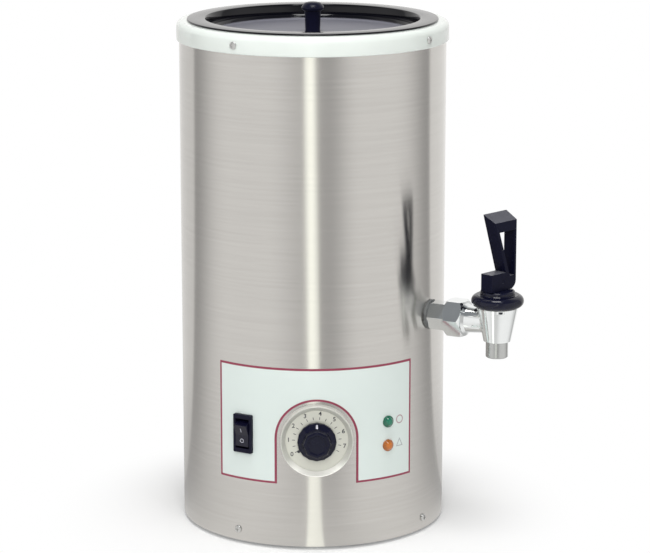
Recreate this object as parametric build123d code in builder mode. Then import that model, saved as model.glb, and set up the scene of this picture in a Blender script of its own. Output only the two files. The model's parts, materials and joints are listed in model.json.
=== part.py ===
from build123d import *
import os
from math import sin, cos, radians, sqrt

os.makedirs("parts", exist_ok=True)

# ------------------------------------------------------------------ driving dimensions (mm)
# datum: Z = 0 resting plane, cylinder axis on Z, control panel faces -Y, azimuth measured from -Y to +X
foot_drop = 3.0                      # rubber ring below the shell's lower edge
shell_r = 110.0
shell_t = 0.8
shell_h = 402.5                      # shell's lower edge to the collar
collar_h = 15.8
collar_over = 2.2                    # collar proud of the shell
collar_wall = 2.0
collar_top_t = 3.8
collar_fit = 0.1                     # collar's skirt round the shell
shell_in_r = shell_r - shell_t
shell_z0 = foot_drop
collar_z0 = shell_z0 + shell_h
collar_z1 = collar_z0 + collar_h     # flat top of the collar
collar_r = shell_r + collar_over
shell_z1 = collar_z1 - collar_top_t - 0.3

tank_gap = 18.5                      # from the shell's outside in to the tank's
tank_t = 1.0
tank_floor_up = 167.0                # tank floor above the shell's lower edge
tank_flange_w = 9.8
collar_bore_gap = 1.3
tank_out_r = shell_r - tank_gap
tank_in_r = tank_out_r - tank_t
tank_floor_z = shell_z0 + tank_floor_up
tank_flange_r = tank_out_r + tank_flange_w
collar_bore_r = tank_out_r + collar_bore_gap

lid_t = 1.5
lid_rim_over = 2.2                   # lid's rim past the tank's flange
lid_mouth_in = 2.0                   # lid's dish inside the tank's wall
lid_ledge_drop = 8.3
lid_floor_drop = 12.3
knob_rise = 12.9                     # grip's top above the rim
lid_z = collar_z1 + lid_t            # flat rim of the lid
lid_r = tank_flange_r + lid_rim_over
lid_mouth_r = tank_in_r - lid_mouth_in
lid_ledge_z = lid_z - lid_ledge_drop
lid_floor_z = lid_z - lid_floor_drop
knob_top_z = lid_z + knob_rise

panel_half_deg = 44.8
panel_up = 52.8                      # panel's lower edge above the shell's
panel_h = 97.2
panel_t = 0.3
skin_gap = 0.02                      # what lies on the shell or the panel starts this far off it
panel_z0 = shell_z0 + panel_up
panel_z1 = panel_z0 + panel_h
panel_face_r = shell_r + panel_t + skin_gap
arch_r = 32.4
dial_z = panel_z0 + 37.8
dial_r = 30.0
dial_plate_r = 25.8
dial_face = 2.6                      # numeral plate in front of the shell
dial_screw_x = 11.5
knob_r = 15.9
knob_t = 13.0
shaft_r = 3.0
run_clear = 0.06                     # round a shaft that turns or slides

switch_deg = -32.3
switch_z = panel_z0 + 39.4
switch_w = 17.4
switch_h = 32.4
switch_cut_w = switch_w - 3.4
switch_cut_h = switch_h - 3.8
lamp_deg = 32.0
lamp_green_z = panel_z0 + 48.4
lamp_amber_z = panel_z0 + 28.2
lamp_r = 4.9
lamp_hole_r = lamp_r - 0.8

screw_degs = (-35.5, 54.5, 144.5, 234.5)
screw_r = 1.5
screw_hole_r = 1.6
screw_head_r = 3.1
screw_head_t = 1.9
collar_screw_z = collar_z0 + 6.9
base_screw_z = shell_z0 + 9.3
gland_deg = 180.0
gland_z = shell_z0 + 32.0
gland_r = 7.9
cord_bore_r = 4.1

tap_deg = 60.0
tap_z = tank_floor_z + 14.6          # shank axis
gasket_t = 1.6
lock_nut_l = 15.2
coupling_nut_l = 15.8
nut_to_valve = 27.6                  # coupling nut's end to the valve axis
lock_u0 = shell_r + gasket_t
lock_u1 = lock_u0 + lock_nut_l
nut_u1 = lock_u1 + coupling_nut_l
tap_axis_r = nut_u1 + nut_to_valve   # valve axis from the cylinder axis
shank_r = 9.1
shank_bore_r = 5.0
thread_r = 8.2
bonnet_z0 = tap_z + 12.8
bonnet_z1 = bonnet_z0 + 10.6
boss_z1 = bonnet_z1 + 3.6            # raised centre the handle rocks on
bonnet_r = 21.4
seat_z = tap_z - 12.6
cone_z0 = tap_z - 15.2
cone_r0 = 11.2
cone_r1 = 16.9
spout_r = 9.1
spout_bore_r = 5.5
spout_l = 13.7
spout_z0 = cone_z0 - spout_l
stem_r = 3.0
handle_deg = 43.5                    # the lever's broad face looks this way
lever_t = 11.4
lever_left = -14.0
lever_right = 15.8
foot_z0 = boss_z1 + 0.2
foot_z1 = foot_z0 + 14.6
lever_top_z = foot_z0 + 63.0
lever_fall = 6.3                     # top face drops this much to the broad side
pin_z = foot_z0 + 7.5
pin_r = 1.5

# holes in the shell start well inside it and run well past it
inside_r = shell_r - 12
through = 20.0


def radial(deg, radius, z):
    """Plane standing on a cylinder of this radius: local X runs sideways, Y up, Z outwards."""
    a = radians(deg)
    return Plane(origin=(radius * sin(a), -radius * cos(a), z),
                 x_dir=(cos(a), sin(a), 0), z_dir=(sin(a), -cos(a), 0))


def upright_at(deg, radius, z):
    """Vertical plane holding the cylinder axis: local X runs outwards, Y up."""
    a = radians(deg)
    return Plane(origin=(radius * sin(a), -radius * cos(a), z),
                 x_dir=(sin(a), -cos(a), 0), z_dir=(-cos(a), -sin(a), 0))


def spindle(deg, z):
    """Level line running out from the cylinder axis."""
    a = radians(deg)
    return Axis((0, 0, z), (sin(a), -cos(a), 0))


def crosswise(deg, radius, z):
    """Plane through a point beside the cylinder whose normal runs sideways round it."""
    stand = radial(deg, radius, z)
    return Plane(origin=stand.origin, x_dir=(0, 0, 1), z_dir=stand.x_dir)


def save(body, name):
    body.part.label = name
    export_step(body.part, "parts/" + name + ".step")


sideways = upright_at(90, 0, 0)
valve_plane = upright_at(tap_deg, tap_axis_r, 0)
tap_point = valve_plane.origin
valve_axis = Axis(tap_point, (0, 0, 1))
floor = Plane.XY


def on_valve(z):
    """Level plane centred on the tap's valve axis."""
    return Plane(origin=(tap_point.X, tap_point.Y, z))


# ------------------------------------------------------------------ shell, collar and base
seam_depth, seam_w = 0.45, 0.5
shaft_hole_r = 5.5
with BuildPart() as outer_shell:
    with BuildSketch(floor.offset(shell_z0)):
        Circle(shell_r)
        Circle(shell_in_r, mode=Mode.SUBTRACT)
    extrude(amount=shell_z1 - shell_z0)
    # seam down the back
    with BuildSketch(radial(180, shell_r - seam_depth, (shell_z0 + shell_z1) / 2)):
        Rectangle(seam_w, shell_z1 - shell_z0 + 2)
    extrude(amount=1, mode=Mode.SUBTRACT)
    with BuildSketch(radial(0, inside_r, dial_z)):
        Circle(shaft_hole_r)
        with Locations((-dial_screw_x, 0), (dial_screw_x, 0)):
            Circle(screw_r + 0.25)
    extrude(amount=through, mode=Mode.SUBTRACT)
    with BuildSketch(radial(switch_deg, inside_r, switch_z)):
        Rectangle(switch_cut_w, switch_cut_h)
    extrude(amount=through, mode=Mode.SUBTRACT)
    for z in (lamp_green_z, lamp_amber_z):
        with BuildSketch(radial(lamp_deg, inside_r, z)):
            Circle(lamp_hole_r)
        extrude(amount=through, mode=Mode.SUBTRACT)
    with BuildSketch(radial(tap_deg, inside_r, tap_z)):
        Circle(shank_r + 0.2)
    extrude(amount=through, mode=Mode.SUBTRACT)
    with BuildSketch(radial(gland_deg, inside_r, gland_z)):
        Circle(gland_r + 0.2)
    extrude(amount=through, mode=Mode.SUBTRACT)
    for deg in screw_degs:
        for z in (collar_screw_z, base_screw_z):
            with BuildSketch(radial(deg, inside_r, z)):
                Circle(screw_hole_r)
            extrude(amount=through, mode=Mode.SUBTRACT)
save(outer_shell, "outer_shell")

collar_lip_z = collar_z1 - 9.0       # collar's inner skirt reaches down to here
skirt_in_r = shell_r + collar_fit
rebate_r = tank_flange_r + 0.2
collar_round = 5.2
with BuildPart() as top_collar:
    with BuildSketch(sideways):
        with BuildLine():
            Polyline((collar_bore_r, collar_lip_z), (collar_bore_r + collar_wall, collar_lip_z),
                     (collar_bore_r + collar_wall, collar_z1 - collar_top_t),
                     (skirt_in_r, collar_z1 - collar_top_t), (skirt_in_r, collar_z0),
                     (collar_r, collar_z0), (collar_r, collar_z1), (rebate_r, collar_z1),
                     (rebate_r, collar_z1 - tank_t), (collar_bore_r, collar_z1 - tank_t),
                     (collar_bore_r, collar_lip_z))
        make_face()
    revolve(axis=Axis.Z)
    rim = top_collar.edges().filter_by(GeomType.CIRCLE).filter_by(
        lambda e: abs(e.radius - collar_r) < 0.01 and abs(e.center().Z - collar_z1) < 0.01)
    fillet(rim, collar_round)
    foot_edge = top_collar.edges().filter_by(GeomType.CIRCLE).filter_by(
        lambda e: abs(e.radius - collar_r) < 0.01 and abs(e.center().Z - collar_z0) < 0.01)
    fillet(foot_edge, 0.8)
    for deg in screw_degs:
        with BuildSketch(radial(deg, shell_r - 2, collar_screw_z)):
            Circle(screw_hole_r)
        extrude(amount=8, mode=Mode.SUBTRACT)
save(top_collar, "top_collar")


slot_l, slot_w, slot_depth = 3.4, 0.8, 0.9


def pan_screws(radius, z, length, degs):
    """Pan head cross-slot screws standing on a cylinder, all round."""
    with BuildPart() as screws:
        for deg in degs:
            with BuildSketch(radial(deg, radius - length, z)):
                Circle(screw_r)
            extrude(amount=length)
            with BuildSketch(radial(deg, radius, z)):
                Circle(screw_head_r)
            extrude(amount=screw_head_t, taper=12)
            with BuildSketch(radial(deg, radius + screw_head_t - slot_depth, z)):
                Rectangle(slot_l, slot_w)
                Rectangle(slot_w, slot_l)
            extrude(amount=slot_depth + 0.3, mode=Mode.SUBTRACT)
    return screws


collar_screws = pan_screws(collar_r, collar_screw_z, 7, screw_degs)
save(collar_screws, "collar_screws")
base_screws = pan_screws(shell_r, base_screw_z, 6, screw_degs)
save(base_screws, "base_screws")

base_z = foot_drop + 2.0             # underside of the base plate, on the rubber ring
base_t = 1.5
base_rim_h = 16.0
ring_screw_r = shell_r - 22.0        # circle of the screws that hold the rubber ring
ring_w = 18.0
ring_screws_n = 4
vent_r = shell_r - 55.0
earth_at = (0, 62.0)
block_y = 40.0
block_screw_x = 24.0
with BuildPart() as base_plate:
    with BuildSketch(floor.offset(base_z)):
        Circle(shell_in_r - 0.1)
    extrude(amount=base_rim_h)
    with BuildSketch(floor.offset(base_z + base_t)):
        Circle(shell_in_r - 0.1 - base_t)
    extrude(amount=base_rim_h, mode=Mode.SUBTRACT)
    with BuildSketch(floor.offset(base_z - 1)):
        with PolarLocations(vent_r, 12, start_angle=15):
            SlotOverall(16, 4)
        with PolarLocations(ring_screw_r, ring_screws_n, start_angle=45):
            Circle(2.1)
        with Locations((-block_screw_x, block_y), (block_screw_x, block_y), earth_at):
            Circle(screw_hole_r)
    extrude(amount=4, mode=Mode.SUBTRACT)
    for deg in screw_degs:
        with BuildSketch(radial(deg, inside_r, base_screw_z)):
            Circle(screw_r + 0.02)
        extrude(amount=through, mode=Mode.SUBTRACT)
save(base_plate, "base_plate")

head_recess = 2.6
with BuildPart() as rubber_ring:
    with BuildSketch(floor):
        Circle(ring_screw_r + ring_w / 2)
        Circle(ring_screw_r - ring_w / 2, mode=Mode.SUBTRACT)
    extrude(amount=base_z)
    lower = rubber_ring.edges().filter_by(GeomType.CIRCLE).group_by(Axis.Z)[0]
    chamfer(lower, 0.8)
    with BuildSketch(floor):
        with PolarLocations(ring_screw_r, ring_screws_n, start_angle=45):
            Circle(4.2)
    extrude(amount=head_recess, mode=Mode.SUBTRACT)
    with BuildSketch(floor):
        with PolarLocations(ring_screw_r, ring_screws_n, start_angle=45):
            Circle(2.1)
    extrude(amount=base_z + 1, mode=Mode.SUBTRACT)
save(rubber_ring, "rubber_ring")

with BuildPart() as ring_screws:
    with BuildSketch(floor.offset(head_recess - 1.8)):
        with PolarLocations(ring_screw_r, ring_screws_n, start_angle=45):
            Circle(3.8)
    extrude(amount=1.8)
    with BuildSketch(floor.offset(head_recess)):
        with PolarLocations(ring_screw_r, ring_screws_n, start_angle=45):
            Circle(2.0)
    extrude(amount=10)
    with BuildSketch(floor.offset(base_z + base_t)):
        with PolarLocations(ring_screw_r, ring_screws_n, start_angle=45):
            RegularPolygon(4.0, 6)
    extrude(amount=3.2)
save(ring_screws, "ring_screws")

# ------------------------------------------------------------------ tank, heaters and insulation
under_z = tank_floor_z - tank_t      # underside of the tank
bend_in = 7.0
bend_out = bend_in + tank_t
with BuildPart() as inner_tank:
    with BuildSketch(sideways):
        with BuildLine():
            Polyline((0, under_z), (tank_out_r - bend_out, under_z))
            RadiusArc((tank_out_r - bend_out, under_z), (tank_out_r, under_z + bend_out), -bend_out)
            Polyline((tank_out_r, under_z + bend_out), (tank_out_r, collar_z1 - tank_t),
                     (tank_flange_r, collar_z1 - tank_t), (tank_flange_r, collar_z1),
                     (tank_in_r, collar_z1), (tank_in_r, tank_floor_z + bend_in))
            RadiusArc((tank_in_r, tank_floor_z + bend_in), (tank_in_r - bend_in, tank_floor_z), bend_in)
            Polyline((tank_in_r - bend_in, tank_floor_z), (0, tank_floor_z), (0, under_z))
        make_face()
    revolve(axis=Axis.Z)
    with BuildSketch(radial(tap_deg, tank_in_r - 8, tap_z)):
        Circle(shank_r + 0.1)
    extrude(amount=16, mode=Mode.SUBTRACT)
save(inner_tank, "inner_tank")

outlet_r = 12.5
outlet_gap = 1.6                     # outlet boss to the shell's inside
with BuildPart() as tank_outlet:
    with BuildSketch(radial(tap_deg, tank_in_r - 6, tap_z)):
        Circle(outlet_r)
        Circle(shank_r, mode=Mode.SUBTRACT)
    extrude(amount=shell_in_r - outlet_gap - tank_in_r + 6)
    with BuildSketch(floor.offset(tank_floor_z)):
        Circle(tank_out_r)
    extrude(amount=60, mode=Mode.SUBTRACT)
save(tank_outlet, "tank_outlet")

heater_z0 = tank_floor_z + 36.0
heater_z1 = heater_z0 + 100.0
heater_mid_z = (heater_z0 + heater_z1) / 2
heater_r = tank_out_r + 3.0
heater_gap_deg = 200.0               # where the band's two ends meet
with BuildPart() as band_heater:
    with BuildSketch(floor.offset(heater_z0)):
        Circle(heater_r)
        Circle(tank_out_r, mode=Mode.SUBTRACT)
    extrude(amount=heater_z1 - heater_z0)
    with BuildSketch(radial(heater_gap_deg, tank_out_r - 12, heater_mid_z)):
        Rectangle(12, heater_z1 - heater_z0 + 4)
    extrude(amount=40, mode=Mode.SUBTRACT)
save(band_heater, "band_heater")

with BuildPart() as heater_straps:
    for z in (heater_z0 + 18, heater_z1 - 18):
        with BuildSketch(floor.offset(z - 5)):
            Circle(heater_r + 0.8)
            Circle(heater_r, mode=Mode.SUBTRACT)
        extrude(amount=10)
        with BuildSketch(radial(heater_gap_deg, heater_r - 0.2, z)):
            with Locations((-8, 0), (8, 0)):
                Rectangle(2, 10)
        extrude(amount=11)
        with BuildSketch(radial(heater_gap_deg, heater_r - 3, z)):
            Rectangle(12, 12)
        extrude(amount=7, mode=Mode.SUBTRACT)
        with BuildSketch(crosswise(heater_gap_deg, heater_r + 7, z).offset(-13)):
            Circle(1.8)
        extrude(amount=26)
save(heater_straps, "heater_straps")

plate_t = 4.0
with BuildPart() as floor_heater:
    with BuildSketch(floor.offset(under_z - plate_t)):
        Circle(tank_out_r - 29.5)
    extrude(amount=plate_t)
    with BuildSketch(floor.offset(under_z - plate_t - 5)):
        with Locations((-40, 20), (-40, -20)):
            Rectangle(4, 6)
    extrude(amount=6)
save(floor_heater, "floor_heater")

with BuildPart() as limit_thermostat:
    with BuildSketch(floor.offset(under_z - plate_t - 10)):
        with Locations((20, 15)):
            Circle(8.5)
    extrude(amount=10)
    with BuildSketch(floor.offset(under_z - plate_t - 15)):
        with Locations((15, 15), (25, 15)):
            Rectangle(1, 6)
    extrude(amount=6)
save(limit_thermostat, "limit_thermostat")

# shelf that carries the tank on the shell
cradle_t = 1.5
cradle_z = under_z - 6.0
cradle_top_z = cradle_z + cradle_t
cradle_r = shell_in_r - 0.3
cradle_hole_r = tank_out_r - 17.5
with BuildPart() as tank_cradle:
    with BuildSketch(floor.offset(cradle_z)):
        Circle(cradle_r)
        Circle(cradle_hole_r, mode=Mode.SUBTRACT)
    extrude(amount=cradle_t)
    # upstand that the tank's floor rests on
    with BuildSketch(floor.offset(cradle_z)):
        Circle(cradle_hole_r + 6)
        Circle(cradle_hole_r + 2, mode=Mode.SUBTRACT)
    extrude(amount=under_z - cradle_z)
    with BuildSketch(floor.offset(cradle_z - 10)):
        Circle(cradle_r)
        Circle(cradle_r - cradle_t, mode=Mode.SUBTRACT)
    extrude(amount=11)
    with BuildSketch(floor.offset(cradle_z - 2)):
        with PolarLocations(cradle_r - 12.9, 3, start_angle=60):
            SlotOverall(26, 12, rotation=90)
    extrude(amount=4, mode=Mode.SUBTRACT)
save(tank_cradle, "tank_cradle")

blanket_in_r = heater_r + 2.2
bulb_deg = 150.0                     # the sensing bulb's slot
with BuildPart() as insulation_blanket:
    with BuildSketch(floor.offset(cradle_top_z)):
        Circle(shell_in_r - 2.0)
        Circle(blanket_in_r, mode=Mode.SUBTRACT)
    extrude(amount=collar_z0 - 12 - cradle_top_z)
    with BuildSketch(radial(tap_deg, blanket_in_r - 20, tap_z)):
        Rectangle(30, 32)
    extrude(amount=60, mode=Mode.SUBTRACT)
    with BuildSketch(radial(heater_gap_deg, blanket_in_r - 20, heater_mid_z)):
        Rectangle(36, heater_z1 - heater_z0 + 10)
    extrude(amount=60, mode=Mode.SUBTRACT)
    with BuildSketch(radial(bulb_deg, blanket_in_r - 20, (cradle_z + collar_z0) / 2)):
        Rectangle(20, collar_z0 - cradle_z)
    extrude(amount=60, mode=Mode.SUBTRACT)
save(insulation_blanket, "insulation_blanket")

# ------------------------------------------------------------------ control panel
panel_corner = (2 * shell_r * sin(radians(panel_half_deg)), -2 * shell_r * cos(radians(panel_half_deg)))
with BuildPart() as panel_overlay:
    with BuildSketch(floor.offset(panel_z0)):
        Circle(shell_r + panel_t)
        Circle(shell_r + skin_gap, mode=Mode.SUBTRACT)
        with BuildLine():
            Polyline((0, 0), panel_corner, (0, -4 * shell_r), (-panel_corner[0], panel_corner[1]), (0, 0))
        make_face(mode=Mode.INTERSECT)
    extrude(amount=panel_z1 - panel_z0)
    with BuildSketch(radial(0, inside_r - 10, dial_z)):
        Circle(arch_r)
        with Locations((0, -panel_h / 2)):
            Rectangle(2 * arch_r, panel_h)
    extrude(amount=2 * through, mode=Mode.SUBTRACT)
    with BuildSketch(radial(switch_deg, inside_r, switch_z)):
        Rectangle(switch_cut_w, switch_cut_h)
    extrude(amount=through, mode=Mode.SUBTRACT)
    for z in (lamp_green_z, lamp_amber_z):
        with BuildSketch(radial(lamp_deg, inside_r, z)):
            Circle(lamp_hole_r)
        extrude(amount=through, mode=Mode.SUBTRACT)
save(panel_overlay, "panel_overlay")

dial_seat = radial(0, shell_r, dial_z)
roll_z = dial_face - 0.4             # the rolled rim stands on this
bush_hole_r = 5.4
with BuildPart() as dial_bezel:
    with BuildSketch(upright_at(0, shell_r, dial_z)):
        with BuildLine():
            Polyline((-8, bush_hole_r), (-8, dial_r), (roll_z, dial_r))
            RadiusArc((roll_z, dial_r), (roll_z, dial_plate_r), (dial_r - dial_plate_r) / 2)
            Polyline((roll_z, dial_plate_r), (dial_face, dial_plate_r - 0.6),
                     (dial_face, bush_hole_r), (-8, bush_hole_r))
        make_face()
    revolve(axis=spindle(0, dial_z))
    with BuildSketch(floor):
        Circle(shell_r + skin_gap)
    extrude(amount=dial_z + 2 * dial_r, mode=Mode.SUBTRACT)
    with BuildSketch(dial_seat.offset(-20)):
        with Locations((-dial_screw_x, 0), (dial_screw_x, 0)):
            Circle(screw_r + 0.25)
    extrude(amount=30, mode=Mode.SUBTRACT)
save(dial_bezel, "dial_bezel")

knob_z0 = dial_face + 0.9            # knob's back, clear of the plate
skirt_t = 3.2
knob_step = 2 * skirt_t
knob_sides = 16
grip_sides = 8
grip_w = 4.4
shaft_end = knob_z0 + 9.4
with BuildPart() as dial_knob:
    with BuildSketch(dial_seat.offset(knob_z0)):
        RegularPolygon(knob_r, knob_sides)
    extrude(amount=skirt_t)
    with BuildSketch(dial_seat.offset(knob_z0 + skirt_t)):
        RegularPolygon(knob_r - 1.2, knob_sides)
    with BuildSketch(dial_seat.offset(knob_z0 + knob_step)):
        RegularPolygon(knob_r - 4.0, grip_sides)
    loft()
    with BuildSketch(dial_seat.offset(knob_z0 + knob_step)):
        RegularPolygon(knob_r - 4.4, grip_sides)
    extrude(amount=knob_t - knob_step, taper=8)
    with BuildSketch(dial_seat.offset(knob_z0 + knob_t - 1.2)):
        SlotOverall(2 * knob_r - 13, grip_w, rotation=90)
    extrude(amount=1.6)
    with BuildSketch(dial_seat.offset(knob_z0 - 0.1)):
        Circle(shaft_r)
    extrude(amount=shaft_end + 0.2 - knob_z0 + 0.1, mode=Mode.SUBTRACT)
    with BuildSketch(dial_seat.offset(knob_z0 - 0.1)):
        Circle(knob_r - 2.3)
        Circle(2 * shaft_r + 0.2, mode=Mode.SUBTRACT)
    extrude(amount=2.4, mode=Mode.SUBTRACT)
save(dial_knob, "dial_knob")

body_face = -3.4                     # front of the thermostat behind the shell
body_w, body_h, body_l = 34.0, 38.0, 26.0
bush_r = 4.9
bush_l = 5.6
shaft_sink = 11.5                    # shaft inside the thermostat
screw_sink = 7.5
spacer_t = 3.0
spacer_h = 12.0
dial_screw_head_t = 1.2
with BuildPart() as thermostat_body:
    with BuildSketch(dial_seat.offset(body_face - body_l)):
        RectangleRounded(body_w, body_h, 2)
    extrude(amount=body_l)
    with BuildSketch(dial_seat.offset(body_face)):
        Circle(bush_r)
        Circle(shaft_r + run_clear, mode=Mode.SUBTRACT)
    extrude(amount=bush_l)
    with BuildSketch(dial_seat.offset(body_face - shaft_sink - 0.5)):
        Circle(shaft_r + run_clear)
    extrude(amount=shaft_sink + 0.5, mode=Mode.SUBTRACT)
    with BuildSketch(dial_seat.offset(body_face - screw_sink - 0.5)):
        with Locations((-dial_screw_x, 0), (dial_screw_x, 0)):
            Circle(screw_r)
    extrude(amount=screw_sink + 0.5, mode=Mode.SUBTRACT)
    with BuildSketch(dial_seat.offset(body_face - body_l - 6)):
        with Locations((-9, 6), (9, 6), (0, -8)):
            Rectangle(6.3, 0.8)
    extrude(amount=6)
save(thermostat_body, "thermostat_body")

with BuildPart() as thermostat_shaft:
    with BuildSketch(dial_seat.offset(body_face - shaft_sink)):
        Circle(shaft_r)
    extrude(amount=shaft_end - body_face + shaft_sink)
save(thermostat_shaft, "thermostat_shaft")

with BuildPart() as thermostat_screws:
    for side in (-dial_screw_x, dial_screw_x):
        with BuildSketch(dial_seat.offset(body_face - screw_sink)):
            with Locations((side, 0)):
                Circle(screw_r)
        extrude(amount=screw_sink - body_face + dial_face - dial_screw_head_t)
        with BuildSketch(dial_seat.offset(dial_face - dial_screw_head_t)):
            with Locations((side, 0)):
                Circle(screw_r + 0.24)
        extrude(amount=dial_screw_head_t)
save(thermostat_screws, "thermostat_screws")

with BuildPart() as thermostat_spacer:
    with BuildSketch(dial_seat.offset(body_face)):
        Rectangle(body_w, spacer_h)
        Circle(bush_r + 0.1, mode=Mode.SUBTRACT)
        with Locations((-dial_screw_x, 0), (dial_screw_x, 0)):
            Circle(screw_r + 0.2, mode=Mode.SUBTRACT)
    extrude(amount=spacer_t)
    # its front follows the shell's inside
    with BuildSketch(floor.offset(dial_z - 20)):
        Circle(shell_in_r - skin_gap)
        Circle(tank_out_r - 30, mode=Mode.SUBTRACT)
    extrude(amount=40, mode=Mode.INTERSECT)
save(thermostat_spacer, "thermostat_spacer")

# sensing line from the controller up to the bulb in the heater gap
bulb_body_r = 3.2
bulb_axis_r = tank_out_r + 6.2
bulb_z0 = heater_z1 + 10.0
bulb_len = 76.0
clip_t = 1.0
bulb_foot = radial(bulb_deg, bulb_axis_r, bulb_z0).origin
line_start = dial_seat.offset(body_face - body_l).origin
line_rise = (bulb_foot.X, bulb_foot.Y, tank_floor_z + 20)
with BuildPart() as capillary_line:
    with BuildLine() as line_path:
        Spline(line_start, (12, -50, dial_z + 6), (40, 20, dial_z + 20),
               (bulb_foot.X - 1.5, bulb_foot.Y - 2.5, tank_floor_z - 22), line_rise,
               tangents=((0, 1, 0), (0, 0, 1)))
        Line(line_rise, bulb_foot)
    with BuildSketch(Plane(origin=line_start, z_dir=(0, 1, 0))):
        Circle(0.9)
    sweep(path=line_path.wires()[0])
save(capillary_line, "capillary_line")

with BuildPart() as sensor_bulb:
    with BuildSketch(Plane(origin=bulb_foot, z_dir=(0, 0, 1))):
        Circle(bulb_body_r)
    extrude(amount=bulb_len)
    fillet(sensor_bulb.edges().filter_by(GeomType.CIRCLE), 1.6)
save(sensor_bulb, "sensor_bulb")

clip_h = 7.0
with BuildPart() as bulb_clips:
    for z in (bulb_z0 + 4, bulb_z0 + 20):
        with BuildSketch(Plane(origin=(bulb_foot.X, bulb_foot.Y, z), z_dir=(0, 0, 1))):
            Circle(bulb_body_r + clip_t)
            Circle(bulb_body_r, mode=Mode.SUBTRACT)
        extrude(amount=clip_h)
        with BuildSketch(radial(bulb_deg, tank_out_r - 3, z + clip_h / 2)):
            Rectangle(14, clip_h)
        extrude(amount=5.6)
        with BuildSketch(floor.offset(z - 1)):
            Circle(tank_out_r)
            with Locations((bulb_foot.X, bulb_foot.Y)):
                Circle(bulb_body_r)
        extrude(amount=clip_h + 2, mode=Mode.SUBTRACT)
save(bulb_clips, "bulb_clips")

# ------------------------------------------------------------------ switch and pilot lamps
switch_seat = radial(switch_deg, shell_r, switch_z)
frame_z0 = panel_t + 0.35
frame_t = 2.3
win_w = switch_w - 4.6
win_h = switch_h - 7.6
box_depth = 21.0
pivot_depth = 3.0                    # rocker's pivot behind the shell's surface
pivot_r = 1.0
with BuildPart() as switch_frame:
    with BuildSketch(switch_seat.offset(-0.4)):
        RectangleRounded(switch_w, switch_h, 1.2)
    extrude(amount=frame_z0 + frame_t + 0.4, taper=4)
    with BuildSketch(floor.offset(switch_z - 30)):
        Circle(panel_face_r)
    extrude(amount=60, mode=Mode.SUBTRACT)
    with BuildSketch(switch_seat.offset(-box_depth)):
        Rectangle(switch_cut_w - 0.3, switch_cut_h - 0.3)
    extrude(amount=box_depth + frame_z0)
    with BuildSketch(switch_seat.offset(-13.5)):
        Rectangle(win_w, win_h)
    extrude(amount=30, mode=Mode.SUBTRACT)
    for side in (-1, 1):
        with BuildSketch(switch_seat.offset(-8)):
            with Locations((0, side * (switch_h / 2 - 1.6))):
                Rectangle(6, 2.4)
        extrude(amount=6.6, taper=-3)
    with BuildSketch(crosswise(switch_deg, shell_r - pivot_depth, switch_z).offset(-win_w / 2 - 1.6)):
        Circle(pivot_r + 0.05)
    extrude(amount=win_w + 3.2, mode=Mode.SUBTRACT)
save(switch_frame, "switch_frame")

rocker_tilt = 10.0
rocker_pivot = radial(switch_deg, shell_r - pivot_depth, switch_z)
outward = rocker_pivot.z_dir
rocker_plane = Plane(origin=rocker_pivot.origin, z_dir=rocker_pivot.x_dir,
                     x_dir=outward * cos(radians(rocker_tilt)) - Vector(0, 0, sin(radians(rocker_tilt))))
rocker_reach = win_h / 2 - 0.45
rocker_w = win_w - 0.7
pivot_half = win_w / 2 + 0.8
with BuildPart() as switch_rocker:
    with BuildSketch(rocker_plane.offset(-rocker_w / 2)):
        with BuildLine():
            Polyline((-7.0, -3.5), (-2.5, -rocker_reach + 0.6), (8.1, -rocker_reach + 2.7),
                     (6.3, 0), (8.1, rocker_reach - 2.7), (-2.5, rocker_reach - 0.6),
                     (-7.0, 3.5), (-7.0, -3.5))
        make_face()
    extrude(amount=rocker_w)
    with BuildSketch(crosswise(switch_deg, shell_r - pivot_depth, switch_z).offset(-pivot_half)):
        Circle(pivot_r)
    extrude(amount=2 * pivot_half)
save(switch_rocker, "switch_rocker")

terminal_depth = box_depth + 8.0
terminal_x, terminal_y = 3.2, 7.0
with BuildPart() as switch_terminals:
    with BuildSketch(switch_seat.offset(-terminal_depth)):
        with GridLocations(2 * terminal_x, 2 * terminal_y, 2, 2):
            Rectangle(0.8, 4.8)
    extrude(amount=terminal_depth - box_depth)
save(switch_terminals, "switch_terminals")


def lamp_parts(z):
    """One snap-in pilot lamp: the domed lens and the body behind it."""
    seat = radial(lamp_deg, shell_r, z)
    with BuildPart() as lens:
        with BuildSketch(upright_at(lamp_deg, shell_r, z)):
            with BuildLine():
                Polyline((-0.8, 0), (-0.8, lamp_r), (1.5, lamp_r))
                RadiusArc((1.5, lamp_r), (4.4, 0.6), 5.4)
                Polyline((4.4, 0.6), (4.4, 0), (-0.8, 0))
            make_face()
        revolve(axis=spindle(lamp_deg, z))
        with BuildSketch(floor.offset(z - 20)):
            Circle(panel_face_r)
        extrude(amount=40, mode=Mode.SUBTRACT)
    with BuildPart() as holder:
        with BuildSketch(seat.offset(-22)):
            Circle(lamp_hole_r - 0.1)
        extrude(amount=22.2)
        with BuildSketch(floor.offset(z - 20)):
            Circle(panel_face_r)
        extrude(amount=40, mode=Mode.INTERSECT)
        with BuildSketch(seat.offset(-27)):
            with Locations((0, 2), (0, -2)):
                Rectangle(2.8, 0.6)
        extrude(amount=5)
    return lens, holder


green_lens, green_holder = lamp_parts(lamp_green_z)
amber_lens, amber_holder = lamp_parts(lamp_amber_z)
save(green_lens, "lamp_lens_green")
save(amber_lens, "lamp_lens_amber")
save(green_holder, "lamp_body_green")
save(amber_holder, "lamp_body_amber")

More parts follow.
